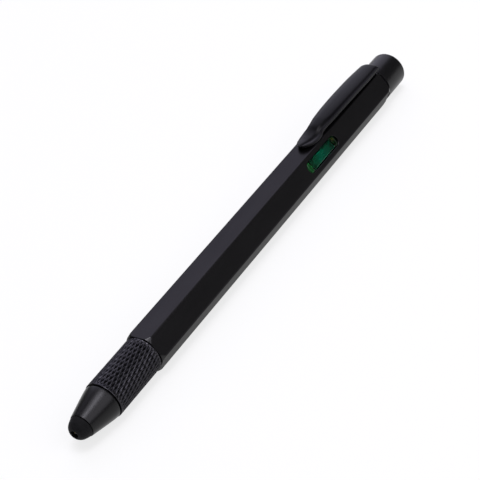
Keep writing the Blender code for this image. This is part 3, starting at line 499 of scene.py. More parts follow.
def makeKnurled():
    # Painted shade darkens the pits of the knurl, and its ridges are rubbed brighter
    v = knurled
    made, tree, shader, place = startMaterial("anodisedKnurl", v)
    split = addNode(tree, "ShaderNodeSeparateXYZ", {0: place})
    up = doMath(tree, "SUBTRACT", split["Z"], axisHeight)
    squares = [doMath(tree, "MULTIPLY", side, side) for side in (up, split["Y"])]
    radius = doMath(tree, "SQRT", doMath(tree, "ADD", *squares))
    depth = grip["knurl"]["Depth"]

    def over(low, high, shares):
        return spread(tree, radius, low, high, *[grip["radius"] + depth * (share - 1) for share in shares])

    fine = speckle(tree, place, *grain)
    rubbed = mixColors(tree, spread(tree, speckle(tree, place, *v["patch"])), v["ridge"], v["wornAndSheen"])
    # Painted shade: the pits' colour is darker than the flanks, standing in for the shade that falls in them
    tone = mixColors(tree, over(0.0, 1.0, v["flankShares"]), v["pit"], v["color"])
    tone = mixColors(tree, over(0.0, 1.0, v["ridgeShares"]), tone, rubbed)
    tone = mixColors(tree, over(1.0, 0.0, v["spigotShares"]), tone, v["color"])
    tree.links.new(tone, shader.inputs["Base Color"])
    smooth, coarse = v["rough"]
    rough = doMath(tree, "ADD", over(coarse, smooth, (0.0, 1.0)),
                   spread(tree, fine, -v["roughSpread"], v["roughSpread"]))
    tree.links.new(rough, shader.inputs["Roughness"])
    addBump(tree, shader, fine, v["bump"])
    return made


liquid = {
    "color": (0.001, 0.09, 0.052),
    "green": (0.005, 0.05, 0.022),
    "paintedFarShade": (0.002, 0.046, 0.026),
    "specular": 0.02,
    "rough": (0.08, 0.16),
    "swirl": (1.1 * mm, 2.0, (2.5, 1.0, 1.0)),
    "sockets": {"Transmission Weight": 0.25, "IOR": 1.36},
    # Shares of half the level's length
    "ragged": 0.12,
    "greenShares": (0.25, 0.9),
    "paintedShadeShares": (-0.1, 0.7),
}


def makeLiquid():
    # Painted light and shade: teal and brightest in the middle, darker and greener towards both ends, and
    # darker still at the far one
    v = liquid
    half = (vialEnd - vialStart) / 2
    made, tree, shader, place = startMaterial("greenLiquid", v)
    x = addNode(tree, "ShaderNodeSeparateXYZ", {0: place})["X"]
    swirl = speckle(tree, place, *v["swirl"])
    away = doMath(tree, "ABSOLUTE", doMath(tree, "SUBTRACT", x, vialMiddle))
    ragged = doMath(tree, "ADD", away, spread(tree, swirl, -v["ragged"] * half, v["ragged"] * half))
    toGreen = spread(tree, ragged, 0.0, 1.0, *[half * share for share in v["greenShares"]])
    farther = spread(tree, x, 0.0, 1.0, *[vialMiddle + half * share for share in v["paintedShadeShares"]])
    # Painted shade towards the far end
    tone = mixColors(tree, farther, mixColors(tree, toGreen, v["color"], v["green"]), v["paintedFarShade"])
    tree.links.new(tone, shader.inputs["Base Color"])
    tree.links.new(spread(tree, swirl, *v["rough"]), shader.inputs["Roughness"])
    return made


glint = {
    "color": (0.065, 0.08, 0.01),
    "along": 5.7 * mm,
    "across": 0.6 * mm,
    "radius": 0.6 * mm,
    "coreShare": 0.3,
}


def addGlint(made):
    # A painted highlight on the far plug: a bright spot mixed into its colour, where the light gathers in its
    # corner
    v = glint
    tree = made.node_tree
    color = tree.nodes["Principled BSDF"].inputs["Base Color"]
    spot = vialCentre + windowNormal * vial["radius"] + windowAcross * v["across"]
    spot.x = vialMiddle + v["along"]
    place = addNode(tree, "ShaderNodeTexCoord")["Object"]
    away = addNode(tree, "ShaderNodeVectorMath", {0: place, 1: spot}, operation="DISTANCE")["Value"]
    near = spread(tree, away, 1.0, 0.0, v["coreShare"] * v["radius"], v["radius"])
    tree.links.new(mixColors(tree, near, color.links[0].from_socket, v["color"]), color)


# Geometry Nodes trees

def newTree(name, whole=(), measures=()):
    tree = bpy.data.node_groups.new(name, "GeometryNodeTree")
    for way in ("INPUT", "OUTPUT"):
        tree.interface.new_socket("Geometry", in_out=way, socket_type="NodeSocketGeometry")
    kinds = {**dict.fromkeys(whole, "Int"), **dict.fromkeys(measures, "Float"), "Material": "Material"}
    for label, kind in kinds.items():
        tree.interface.new_socket(label, in_out="INPUT", socket_type="NodeSocket" + kind)
    return tree, addNode(tree, "NodeGroupInput")


def endTree(tree, given, shape):
    real = addNode(tree, "GeometryNodeRealizeInstances", {"Geometry": shape[0]})
    painted = addNode(tree, "GeometryNodeSetMaterial", {"Geometry": real[0], "Material": given["Material"]})
    tree.links.new(painted[0], tree.nodes.new("NodeGroupOutput").inputs[0])
    return tree


def runTree(name, tree, values, sharpDeg):
    holder = addObject(name, bpy.data.meshes.new(name))
    step = holder.modifiers.new(name, "NODES")
    step.node_group = tree
    for socket in tree.interface.items_tree:
        if socket.name in values:
            step[socket.identifier] = values[socket.name]
    return settle(holder, sharpDeg)


def knurlTree():
    # A sheet of crossed ridges: a grid wrapped round the pen, lifted where either winding line runs
    tree, given = newTree("knurlNet", ("Count", "Steps Round", "Steps Along"), (
        "Start", "Length", "Diamond Length", "Root Radius", "Depth", "Fade", "Blend", "Steepness",
        "Weaker Share", "Axis Height"))
    mergeWithin = 1e-6

    def work(operation, *values):
        return doMath(tree, operation, *values)

    sheet = addNode(tree, "GeometryNodeMeshGrid", {
        "Size X": 1.0, "Size Y": 1.0, "Vertices X": given["Steps Along"], "Vertices Y": given["Steps Round"]})
    flat = addNode(tree, "ShaderNodeSeparateXYZ", {0: addNode(tree, "GeometryNodeInputPosition")[0]})
    roundShare = work("ADD", flat["Y"], 0.5)
    along = work("MULTIPLY", work("ADD", flat["X"], 0.5), given["Length"])
    columns = work("MULTIPLY", roundShare, given["Count"])
    rows = work("DIVIDE", along, given["Diamond Length"])
    ridges = []
    for winding in ("ADD", "SUBTRACT"):
        line = work(winding, columns, rows)
        ridges.append(work("MULTIPLY", work("PINGPONG", line, 0.5), 2.0))
    weaker = work("MULTIPLY", ridges[1], given["Weaker Share"])
    joined = work("SMOOTH_MAX", ridges[0], weaker, given["Blend"])
    steeper = work("MULTIPLY", joined, given["Steepness"])
    height = work("SMOOTH_MIN", steeper, 1.0, given["Blend"])
    toEnd = work("MINIMUM", along, work("SUBTRACT", given["Length"], along))
    fade = addNode(tree, "ShaderNodeClamp", {"Value": work("DIVIDE", toEnd, given["Fade"])})
    sunk = work("MULTIPLY", work("SUBTRACT", 1.0, height), fade[0])
    lift = work("MULTIPLY", work("SUBTRACT", 1.0, sunk), given["Depth"])
    radius = work("ADD", given["Root Radius"], lift)
    turn = work("MULTIPLY", roundShare, 2 * math.pi)
    up = work("MULTIPLY", radius, work("SINE", turn))
    spot = addNode(tree, "ShaderNodeCombineXYZ", {
        "X": work("ADD", along, given["Start"]),
        "Y": work("MULTIPLY", radius, work("COSINE", turn)),
        "Z": work("ADD", up, given["Axis Height"])})
    wrapped = addNode(tree, "GeometryNodeSetPosition", {"Geometry": sheet[0], "Position": spot[0]})
    closed = addNode(tree, "GeometryNodeMergeByDistance", {"Geometry": wrapped[0], "Distance": mergeWithin})
    return endTree(tree, given, closed)


def threadTree():
    # One round ridge that winds along X, half sunk in the piece that carries it
    tree, given = newTree("threadRidge", (), ("Radius", "Turns", "Length", "Ridge", "Start", "Axis Height"))
    spiral = addNode(tree, "GeometryNodeCurveSpiral", {
        "Resolution": 40, "Rotations": given["Turns"], "Start Radius": given["Radius"],
        "End Radius": given["Radius"], "Height": given["Length"]})
    ring = addNode(tree, "GeometryNodeCurvePrimitiveCircle", {"Resolution": 8, "Radius": given["Ridge"]})
    ridge = addNode(tree, "GeometryNodeCurveToMesh", {
        "Curve": spiral[0], "Profile Curve": ring[0], "Fill Caps": True})
    spot = addNode(tree, "ShaderNodeCombineXYZ", {"X": given["Start"], "Z": given["Axis Height"]})
    laid = addNode(tree, "GeometryNodeTransform", {
        "Geometry": ridge[0], "Translation": spot[0], "Rotation": (0.0, math.pi / 2, 0.0)})
    return endTree(tree, given, laid)


def addThread(name, tree, material, v, root, start, end):
    length = end - start
    return runTree(name, tree, {
        "Radius": root, "Turns": length / v["pitch"], "Length": length, "Ridge": v["ridge"], "Start": start,
        "Axis Height": axisHeight, "Material": material}, sharpDeg=60.0)


# The pen

barrel = {
    "edgeRadius": 0.45 * mm,
    "frontDrop": 0.44 * mm,
    "rearDrop": 0.3 * mm,
    "chamferLength": 1.25 * mm,
    "chamferSteps": 16,
    "chamferFacing": 0.1,
    "holdShares": (1.3, 1.6, 3.0),
    "wall": 0.85 * mm,
    "endBreak": 0.05 * mm,
    "acrossSteps": 24,
    "edgeSteps": 6,
    "hold": 0.06 * mm,
    "windowFromEnd": 34.1 * mm,
    "windowLength": 14.4 * mm,
    "windowWidth": 3.12 * mm,
    "windowBreak": 0.05 * mm,
    "windowFloor": 0.5,
    "windowSteps": 20,
}


def hexOutline():
    # Points (y, z) round the pen's axis: flats with a point close to each end, and round edges between
    v = barrel
    innerRadius = flatRadius - v["edgeRadius"]
    halfFlat = innerRadius * math.tan(math.pi / 6)
    steps = v["acrossSteps"]
    spots = [-halfFlat] + [(-1 + 2 * i / steps) * (halfFlat - v["hold"]) for i in range(steps + 1)]
    points = []
    for side in range(6):
        facing = math.radians(30 + 60 * side)
        out = Vector((math.cos(facing), math.sin(facing)))
        tangent = Vector((-out.y, out.x))
        points += [out * flatRadius + tangent * s for s in spots]
        corner = facing + math.pi / 6
        middle = Vector((math.cos(corner), math.sin(corner))) * innerRadius / math.cos(math.pi / 6)
        for i in range(v["edgeSteps"]):
            turn = facing + math.pi / 3 * i / v["edgeSteps"]
            points.append(middle + Vector((math.cos(turn), math.sin(turn))) * v["edgeRadius"])
    return points


def makeBarrel():
    v = barrel
    outline = hexOutline()
    cornerRadius = flatRadius / math.cos(math.pi / 6)
    shape = bmesh.new()
    rings = []

    def addRing(x, most, less=0.0):
        flats = [point.normalized() * (min(point.length, most) - less) for point in outline]
        rings.append([shape.verts.new((x, flat.x, axisHeight + flat.y)) for flat in flats])

    # The outside from front to rear, then the bore back again
    steps = v["chamferSteps"]
    depths = [0.0] + [v["endBreak"] + v["chamferLength"] * i / steps for i in range(steps + 2)]
    depths += [v["chamferLength"] * share for share in v["holdShares"]]
    stations = [(barrelLow.x + depth, depth, v["frontDrop"]) for depth in depths]
    stations += [(barrelHigh.x - depth, depth, v["rearDrop"]) for depth in reversed(depths)]
    for x, depth, drop in stations:
        most = cornerRadius - drop * (1 - min(1.0, depth / v["chamferLength"]))
        addRing(x, most, 0.0 if depth else v["endBreak"])
    bore = flatRadius - v["wall"]
    addRing(barrelHigh.x, bore + v["endBreak"])
    addRing(barrelHigh.x - v["endBreak"], bore)
    addRing(barrelLow.x + v["endBreak"], bore)
    addRing(barrelLow.x, bore + v["endBreak"])
    skinRings(shape, rings)
    return cutAway(finishMesh("hexBarrel", shape), windowCutter(), sharpDeg=30.0)


def polishEnds(piece, material):
    # The turned chamfers at both ends are smoother than the flats
    piece.data.materials.append(material)
    for face in piece.data.polygons:
        fromEnd = min(abs(face.center.x - barrelLow.x), abs(face.center.x - barrelHigh.x))
        if fromEnd < barrel["chamferLength"] and abs(face.normal.x) > barrel["chamferFacing"]:
            face.material_index = 1


def stadium(halfLength, halfWidth, steps):
    straight = halfLength - halfWidth
    points = []
    for side in (1, -1):
        for i in range(steps + 1):
            turn = -math.pi / 2 + math.pi * i / steps
            points.append((side * (straight + halfWidth * math.cos(turn)), side * halfWidth * math.sin(turn)))
    return points


def windowCutter():
    v = barrel
    rise = v["windowBreak"]
    levels = ((flatRadius * v["windowFloor"], 0.0), (flatRadius - rise, 0.0), (flatRadius + rise, 2 * rise))
    shape = bmesh.new()
    rings = []
    for height, growth in levels:
        ring = []
        outline = stadium(v["windowLength"] / 2 + growth, v["windowWidth"] / 2 + growth, v["windowSteps"])
        for along, across in outline:
            place = penAxis + windowNormal * height + windowAcross * across
            ring.append(shape.verts.new(place + Vector((vialMiddle + along, 0.0, 0.0))))
        rings.append(ring)
    skinRings(shape, rings, capped=True)
    return finishMesh("windowCutter", shape)


tip = {
    "length": 2.58 * mm,
    "frontRadius": 1.16 * mm,
    "backRadius": 2.86 * mm,
    "holeRadius": 0.95 * mm,
    "lipLength": 1.8 * mm,
    "innerRadius": 1.28 * mm,
    "neckRadius": 2.05 * mm,
    "neckLength": 1.37 * mm,
    "beadRadius": 2.4 * mm,
    "beadLength": 0.85 * mm,
    "soft": 0.12 * mm,
    "backSoft": 0.10 * mm,
    "domeSteps": 28,
    "domeCrowding": 1.6,
    # Along the tip from its face: share of the length, share of the growth in radius
    "shares": (
        (0.000, 0.00),
        (0.035, 0.14),
        (0.095, 0.28),
        (0.175, 0.42),
        (0.265, 0.55),
        (0.360, 0.645),
        (0.460, 0.73),
        (0.580, 0.80),
        (0.720, 0.875),
        (0.860, 0.94),
        (1.000, 1.00),
    ),
}


def makeTip():
    v = tip
    back = noseX + v["length"]
    neckEnd = back + v["neckLength"]
    beadEnd = neckEnd + v["beadLength"]
    lipEnd = noseX + v["lipLength"]
    shares = [(i / v["domeSteps"]) ** v["domeCrowding"] for i in range(v["domeSteps"])]
    return turnedPiece("rubberNose", [
        (noseX, v["holeRadius"], v["soft"]),
        *shapedSide(v, noseX, shares),
        (back, v["backRadius"], v["backSoft"]),
        (back, v["neckRadius"]),
        (neckEnd, v["neckRadius"]),
        (neckEnd, v["beadRadius"], v["soft"]),
        (beadEnd, v["beadRadius"], v["soft"]),
        (beadEnd, v["innerRadius"]),
        (lipEnd, v["innerRadius"]),
        (lipEnd, v["holeRadius"], v["soft"] / 2),
    ], sharpDeg=50.0)


cone = {
    "length": 7.5 * mm,
    "frontRadius": 2.97 * mm,
    "backRadius": 4.53 * mm,
    "edge": 0.12 * mm,
    "throatEdge": 0.05 * mm,
    "grooveRadius": 4.25 * mm,
    "grooveWidth": 0.27 * mm,
    "spigotRadius": 3.14 * mm,
    "throatRadius": 2.1 * mm,
    "throatLength": 1.2 * mm,
    "recessRadius": 2.46 * mm,
    "recessEnd": 2.15 * mm,
    "boreRadius": 2.4 * mm,
    "pitch": 0.6 * mm,
    "ridge": 0.14 * mm,
    "sideSteps": 24,
    "roundSteps": 128,
    # Along the cone from its front: share of the length, share of the growth in radius
    "shares": (
        (0.00, 0.000),
        (0.12, 0.133),
        (0.26, 0.286),
        (0.40, 0.438),
        (0.56, 0.610),
        (0.71, 0.768),
        (0.85, 0.903),
        (0.93, 0.963),
        (1.00, 1.000),
    ),
}


def makeCone(material, thread):
    v = cone
    low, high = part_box("nose_cone")
    back = low.x + v["length"]
    groove = back + v["grooveWidth"]
    recess = low.x + v["recessEnd"]
    throat = low.x + v["throatLength"]
    root = v["spigotRadius"] - v["ridge"]
    runout = high.x - v["pitch"] / 2
    body = turnedPiece("coneBody", [
        (low.x, v["throatRadius"], v["throatEdge"]),
        (low.x, v["frontRadius"], v["edge"] / 2),
        *shapedSide(v, low.x, [i / v["sideSteps"] for i in range(1, v["sideSteps"])]),
        (back, v["backRadius"], v["edge"]),
        (back, v["grooveRadius"]),
        (groove, v["grooveRadius"]),
        (groove, root),
        (runout, root),
        (high.x, root - v["ridge"]),
        (high.x, v["boreRadius"]),
        (recess, v["boreRadius"]),
        (recess, v["recessRadius"]),
        (throat, v["recessRadius"]),
        (throat, v["throatRadius"]),
    ], v["roundSteps"])
    ridge = addThread("coneThread", thread, material, v, root, groove + v["pitch"], runout)
    return joinPieces("noseCone", [body, ridge])


grip = {
    "radius": 4.72 * mm,
    "length": 15.1 * mm,
    # What the knurl's tree is given
    "knurl": {
        "Count": 33,
        "Diamond Length": 2.95 * mm,
        "Depth": 0.32 * mm,
        "Fade": 0.6 * mm,
        "Blend": 0.1,
        "Steepness": 1.2,
        "Weaker Share": 0.86,
    },
    "stepsPerDiamond": 14,
    "coreSink": 0.05 * mm,
    "frontBand": 0.25 * mm,
    "backBand": 0.12 * mm,
    "bandRecess": 0.01 * mm,
    "bandEdge": 0.02 * mm,
    "frontEdge": 0.2 * mm,
    "backEdge": 0.05 * mm,
    "spigotLength": 10.0 * mm,
    "spigotRadius": 3.84 * mm,
    "spigotEdge": 0.15 * mm,
    "ringSink": 0.6 * mm,
    "ringGroove": 0.75 * mm,
    "frontBore": 3.19 * mm,
    "backBore": 2.95 * mm,
    "boreStep": 6.0 * mm,
    "boreEdge": 0.08 * mm,
    "roundSteps": 132,
}


def makeGrip(material):
    v = grip
    knurl = v["knurl"]
    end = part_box("grip")[1].x
    back = end - v["spigotLength"]
    front = back - v["length"]
    band = v["radius"] - v["bandRecess"]
    root = v["radius"] - knurl["Depth"]
    knurlStart = front + v["frontBand"]
    knurlEnd = back - v["backBand"]
    grooveStart = (back + end - v["ringGroove"]) / 2
    grooveEnd = grooveStart + v["ringGroove"]
    step = front + v["boreStep"]
    core = turnedPiece("gripCore", [
        (front, v["frontBore"], v["boreEdge"]),
        (front, band, v["frontEdge"]),
        (knurlStart, band, v["bandEdge"]),
        (knurlStart, root - v["coreSink"]),
        (knurlEnd, root - v["coreSink"]),
        (knurlEnd, band, v["bandEdge"]),
        (back, band, v["backEdge"]),
        (back, v["spigotRadius"]),
        (grooveStart, v["spigotRadius"]),
        (grooveStart, v["spigotRadius"] - v["ringSink"]),
        (grooveEnd, v["spigotRadius"] - v["ringSink"]),
        (grooveEnd, v["spigotRadius"]),
        (end, v["spigotRadius"], v["spigotEdge"]),
        (end, v["backBore"]),
        (step, v["backBore"]),
        (step, v["frontBore"]),
    ], v["roundSteps"])
    length = knurlEnd - knurlStart
    net = runTree("gripKnurl", knurlTree(), {
        **knurl,
        "Steps Round": knurl["Count"] * v["stepsPerDiamond"] + 1,
        "Steps Along": round(length / knurl["Diamond Length"] * v["stepsPerDiamond"]) + 1,
        "Start": knurlStart,
        "Length": length,
        "Root Radius": root,
        "Axis Height": axisHeight,
        "Material": material,
    }, sharpDeg=30.0)
    return joinPieces("knurledGrip", [core, net])


cap = {
    "radius": 4.84 * mm,
    "length": 9.1 * mm,
    "endRadius": 0.9 * mm,
    "endWall": 1.1 * mm,
    "rimEdge": 0.1 * mm,
    "bore": 3.86 * mm,
    "boreEdge": 0.08 * mm,
    "floorEdge": 0.3 * mm,
    "roundSteps": 128,
    "cornerSteps": 8,
}


def makeCap():
    v = cap
    low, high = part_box("cap")
    floor = low.x + v["length"] - v["endWall"]
    return turnedPiece("roundCap", [
        (floor, 0.0),
        (floor, v["bore"], v["floorEdge"]),
        (low.x, v["bore"], v["boreEdge"]),
        (low.x, v["radius"], v["rimEdge"]),
        (high.x, v["radius"], v["endRadius"]),
        (high.x, 0.0),
    ], v["roundSteps"], cornerSteps=v["cornerSteps"])


collar = {
    "depth": 4.8 * mm,
    "insertRadius": 3.85 * mm,
    "insertEdge": 0.1 * mm,
    "radius": 3.8 * mm,
    "bore": 2.45 * mm,
    "edge": 0.28 * mm,
    "edgeSoft": 0.05 * mm,
    "pitch": 0.55 * mm,
    "ridge": 0.13 * mm,
    "threadFromFace": 1.3,
}


def makeCollar(material, thread):
    v = collar
    low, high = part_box("end_collar")
    face = low.x + v["depth"]
    bevel = high.x - v["edge"]
    root = v["radius"] - v["ridge"]
    body = turnedPiece("collarBody", [
        (low.x, v["bore"]),
        (low.x, v["insertRadius"], v["insertEdge"]),
        (face, v["insertRadius"]),
        (face, root),
        (bevel, root, v["edgeSoft"]),
        (high.x, root - v["edge"], v["edgeSoft"]),
        (high.x, v["bore"], v["insertEdge"]),
    ])
    ridge = addThread("collarThread", thread, material, v, root,
                      face + v["pitch"] * v["threadFromFace"], bevel - v["pitch"] / 2)
    return joinPieces("threadedCollar", [body, ridge])


clip = {
    "sheet": 0.5 * mm,
    "halfWidth": 2.9 * mm,
    "arch": 0.6 * mm,
    "archPower": 2.4,
    "contactGap": 0.05 * mm,
    "rise": 1.95 * mm,
    # Towards its edges the sheet is thicker, from lipFrom of the length on
    "lip": 0.14 * mm,
    "lipPower": 8,
    "lipFrom": 0.2,
    "lipGrowth": 0.1,
    # The foot leans a little to one side
    "footAside": 0.1 * mm,
    "footShare": 0.16,
    "edgeRound": 0.11 * mm,
    "edgeSegments": 3,
    "edgeDeg": 50,
    "acrossSteps": 32,
    "alongSteps": 150,
    # Along the arm from its foot: share of the length, then of the rise over the contact, half width and arch
    "shares": (
        (0.000, 0.530, 0.080, 0.05),
        (0.006, 0.510, 0.240, 0.15),
        (0.016, 0.470, 0.420, 0.30),
        (0.042, 0.330, 0.640, 0.50),
        (0.065, 0.220, 0.750, 0.60),
        (0.090, 0.140, 0.830, 0.65),
        (0.124, 0.130, 0.890, 0.65),
        (0.155, 0.200, 0.900, 0.65),
        (0.172, 0.290, 0.880, 0.65),
        (0.189, 0.420, 0.830, 0.70),
        (0.206, 0.560, 0.805, 0.80),
        (0.228, 0.690, 0.810, 0.90),
        (0.307, 0.908, 0.900, 1.00),
        (0.438, 1.000, 0.965, 1.00),
        (0.570, 0.982, 0.995, 1.00),
        (0.779, 0.817, 1.000, 1.00),
        (0.900, 0.670, 0.945, 1.00),
        (0.976, 0.569, 0.880, 1.00),
        (0.992, 0.495, 0.860, 1.00),
        (1.000, 0.394, 0.850, 1.00),
    ),
    # Beside its edge the arm dips: share of the length, place across, depth in mm and width of the dip
    "dips": (
        (0.000, -0.30, 0.16, 0.26),
        (0.070, -0.45, 0.27, 0.24),
        (0.150, -0.60, 0.24, 0.22),
        (0.236, -0.71, 0.25, 0.20),
        (0.360, -0.85, 0.11, 0.15),
        (0.960, -0.86, 0.08, 0.14),
        (1.000, -0.86, 0.02, 0.13),
    ),
}


def makeClip():
    v = clip
    low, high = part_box("clip_arm")
    contact = v["sheet"] + v["contactGap"]
    across = v["acrossSteps"]
    shape = bmesh.new()
    sections = []
    for i in range(v["alongSteps"] + 1):
        share = (1 - math.cos(math.pi * i / v["alongSteps"])) / 2
        riseShare, widthShare, archShare = smoothShares(v["shares"], share)
        dipSpot, dipDepth, dipWidth = smoothShares(v["dips"], share)
        x = low.x + (high.x - low.x) * share
        edge = barrelHigh.z + contact + (v["rise"] - contact) * riseShare
        aside = v["footAside"] * max(0.0, 1 - share / v["footShare"]) ** 2
        lip = v["lip"] * min(1.0, max(0.0, (share - v["lipFrom"]) / v["lipGrowth"]))
        top = []
        under = []
        for k in range(across + 1):
            spot = 2 * k / across - 1
            y = v["halfWidth"] * widthShare * spot + aside
            height = edge + v["arch"] * archShare * (1 - abs(spot) ** v["archPower"])
            height -= dipDepth * mm * math.exp(-((spot - dipSpot) / dipWidth) ** 2)
            top.append(shape.verts.new((x, y, height)))
            under.append(shape.verts.new((x, y, height - v["sheet"] - lip * abs(spot) ** v["lipPower"])))
        sections.append(top + under[::-1])
    skinRings(shape, sections, capped=True)
    piece = finishMesh("clipArm", shape)
    rounding = piece.modifiers.new("rounding", "BEVEL")
    rounding.width = v["edgeRound"]
    rounding.segments = v["edgeSegments"]
    rounding.limit_method = "ANGLE"
    rounding.angle_limit = math.radians(v["edgeDeg"])
    return settle(piece, sharpDeg=40.0)


vial = {
    "radius": 1.45 * mm,
    "wall": 0.07 * mm,
    "depth": 0.25 * mm,
    "edge": 0.05 * mm,
    "innerEdge": 0.03 * mm,
    "liquidEdge": 0.04 * mm,
    "liquidGap": 0.012 * mm,
    "roundSteps": 64,
    "fullness": 8.0,
    "crown": 1.14,
    "breadth": 1.055,
    "plugFullness": 3.0,
    "plugSteps": 12,
    "farSpigot": 0.9 * mm,
    "nearSpigot": 0.4 * mm,
    "seat": 0.05 * mm,
    "markWidth": 0.17 * mm,
    "markProud": 0.012 * mm,
    "markAway": 4.3 * mm,
    "bubbleRadius": 0.46 * mm,
    "bubblePower": 0.8,
    "bubbleSteps": 24,
    "bubbleRoundSteps": 40,
}
vialStart, vialEnd = [corner.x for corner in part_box("vial_tube")]
vialMiddle = barrelHigh.x - barrel["windowFromEnd"]
vialCentre = penAxis + windowNormal * (flatRadius - vial["depth"] - vial["radius"])
vialInner = vial["radius"] - vial["wall"]
liquidRadius = vialInner - vial["liquidGap"]


def fillSlot(piece):
    # The half that faces out is fuller than a circle, so that the slot shows no gap beside it
    power = vial["fullness"]
    for vertex in piece.data.vertices:
        away = vertex.co - vialCentre
        up = away.dot(windowNormal)
        aside = away.dot(windowAcross)
        reach = math.hypot(up, aside)
        if up <= 0 or reach < almostNothing:
            continue
        fuller = (abs(up / reach) ** power + abs(aside / reach) ** power) ** (-1 / power)
        vertex.co += windowNormal * up * (fuller * vial["crown"] - 1)
        vertex.co += windowAcross * aside * (fuller * vial["breadth"] - 1)
    return piece


def turnedVial(name, corners):
    return turnedPiece(name, corners, vial["roundSteps"], vialCentre)


def makeVialTube():
    v = vial
    return turnedVial("vialTube", [
        (vialStart, vialInner, v["innerEdge"]),
        (vialStart, v["radius"], v["edge"]),
        (vialEnd, v["radius"], v["edge"]),
        (vialEnd, vialInner, v["innerEdge"]),
    ])


def makeLiquidBody():
    v = vial
    near = vialStart + v["nearSpigot"] + v["liquidGap"]
    far = vialEnd - v["farSpigot"] - v["liquidGap"]
    return turnedVial("vialLiquid", [
        (near, 0.0),
        (near, liquidRadius, v["liquidEdge"]),
        (far, liquidRadius, v["liquidEdge"]),
        (far, 0.0),
    ])


def makeBubble():
    # A long bubble with round ends, up against the liquid's highest line
    v = vial
    low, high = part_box("level_bubble")
    half = (high.x - low.x) / 2
    middle = (low.x + high.x) / 2
    points = []
    for i in range(1, v["bubbleSteps"]):
        turn = math.pi * i / v["bubbleSteps"]
        radius = v["bubbleRadius"] * math.sin(turn) ** v["bubblePower"]
        points.append((middle - half * math.cos(turn), radius))
    points = [(middle - half, 0.0), *points, (middle + half, 0.0)]
    centre = vialCentre + Vector((0.0, 0.0, liquidRadius - v["bubbleRadius"]))
    return turnedPiece("levelBubble", points, v["bubbleRoundSteps"], centre)


def makePlug(name, face, side, spigot):
    v = vial
    power = 2 / v["plugFullness"]
    seat = face + side * v["seat"]
    dome = []
    for i in range(v["plugSteps"] + 1):
        turn = math.pi / 2 * i / v["plugSteps"]
        out = max(0.0, math.cos(turn)) ** power
        dome.append((seat + side * v["radius"] * out, v["radius"] * math.sin(turn) ** power))
    return turnedVial(name, [
        *dome,
        (seat, liquidRadius),
        (seat - side * spigot, liquidRadius, v["liquidEdge"]),
        (seat - side * spigot, 0.0),
    ])


def makeMarks():
    # Two fine rings that a bubble lies between when the pen is level
    v = vial
    inner = v["radius"] - v["markProud"]
    outer = v["radius"] + v["markProud"]
    rings = []
    for side in (-1, 1):
        start = vialMiddle + side * v["markAway"] - v["markWidth"] / 2
        end = start + v["markWidth"]
        corners = [(start, inner), (start, outer), (end, outer), (end, inner)]
        rings.append(turnedVial("mark%d" % side, corners))
    return joinPieces("levelMarks", rings)


# The stage

photoView = {
    "frameSize": 480,
    "lens": 105.0,
    "sensor": 36.0,
    "tiltDeg": 37.9,
    "headingDeg": 49.328,
    "rollDeg": -43.10,
    "distance": 329.52 * mm,
    "aimFromNose": 65.81 * mm,
    "aimRight": -0.480 * mm,
    "aimUp": -0.747 * mm,
    "shiftPixels": 0.5,
    "nearest": 0.01,
    "farthest": 50.0,
}


def makeCamera():
    v = photoView
    tilt, heading, roll = [math.radians(v[key]) for key in ("tiltDeg", "headingDeg", "rollDeg")]
    level = Vector((math.sin(heading), -math.cos(heading), 0.0))
    along = Vector((math.cos(tilt) * math.cos(heading), math.cos(tilt) * math.sin(heading), -math.sin(tilt)))
    raised = Vector((math.sin(tilt) * math.cos(heading), math.sin(tilt) * math.sin(heading), math.cos(tilt)))
    up = raised * math.cos(roll) + level * math.sin(roll)
    aside = raised * math.sin(roll) - level * math.cos(roll)
    turn = Matrix((along, aside, up))
    aim = Vector((noseX + v["aimFromNose"], 0.0, axisHeight))
    place = aim - turn @ Vector((v["aimRight"], v["aimUp"], -v["distance"]))
    data = bpy.data.cameras.new("photoCamera")
    data.lens = v["lens"]
    data.sensor_width = v["sensor"]
    data.sensor_fit = "HORIZONTAL"
    data.shift_x = -v["shiftPixels"] / v["frameSize"]
    data.shift_y = v["shiftPixels"] / v["frameSize"]
    data.clip_start = v["nearest"]
    data.clip_end = v["farthest"]
    camera = addObject("photoCamera", data)
    camera.matrix_world = Matrix.Translation(place) @ turn.to_4x4()
    bpy.context.scene.camera = camera


stage = {
    "color": (0.965, 0.97, 0.94),
    "rough": (0.9,),
    "specular": 0.0,
    "floorHalf": 4.0,
    "floorGap": 0.12 * mm,
    "seenFloor": 0.74,
    "roomLight": 0.16,
    # Lamps seen from the pen: turn, rise, distance, half width, radiance and color, with angles in degrees
    "lamps": {
        "overhead": (-80, 84, 2.2, 21, 3.2, (0.92, 0.90, 1.0)),
        "overheadCore": (-75, 80, 2.0, 8, 9.0, (0.92, 0.90, 1.0)),
        "side": (-86, 39, 2.2, 23, 2.1, (0.93, 0.91, 1.0)),
        "behind": (37, 36, 2.2, 30, 1.3, (0.82, 0.80, 1.0)),
    },
}


def seenRays(tree):
    # 1 where the camera looks, in gloss or through glass too, and 0 where light is gathered
    path = addNode(tree, "ShaderNodeLightPath")
    seen = doMath(tree, "ADD", path["Is Camera Ray"], path["Is Glossy Ray"])
    return spread(tree, doMath(tree, "ADD", seen, path["Is Transmission Ray"]), 0.0, 1.0, 0.0, 1.0)


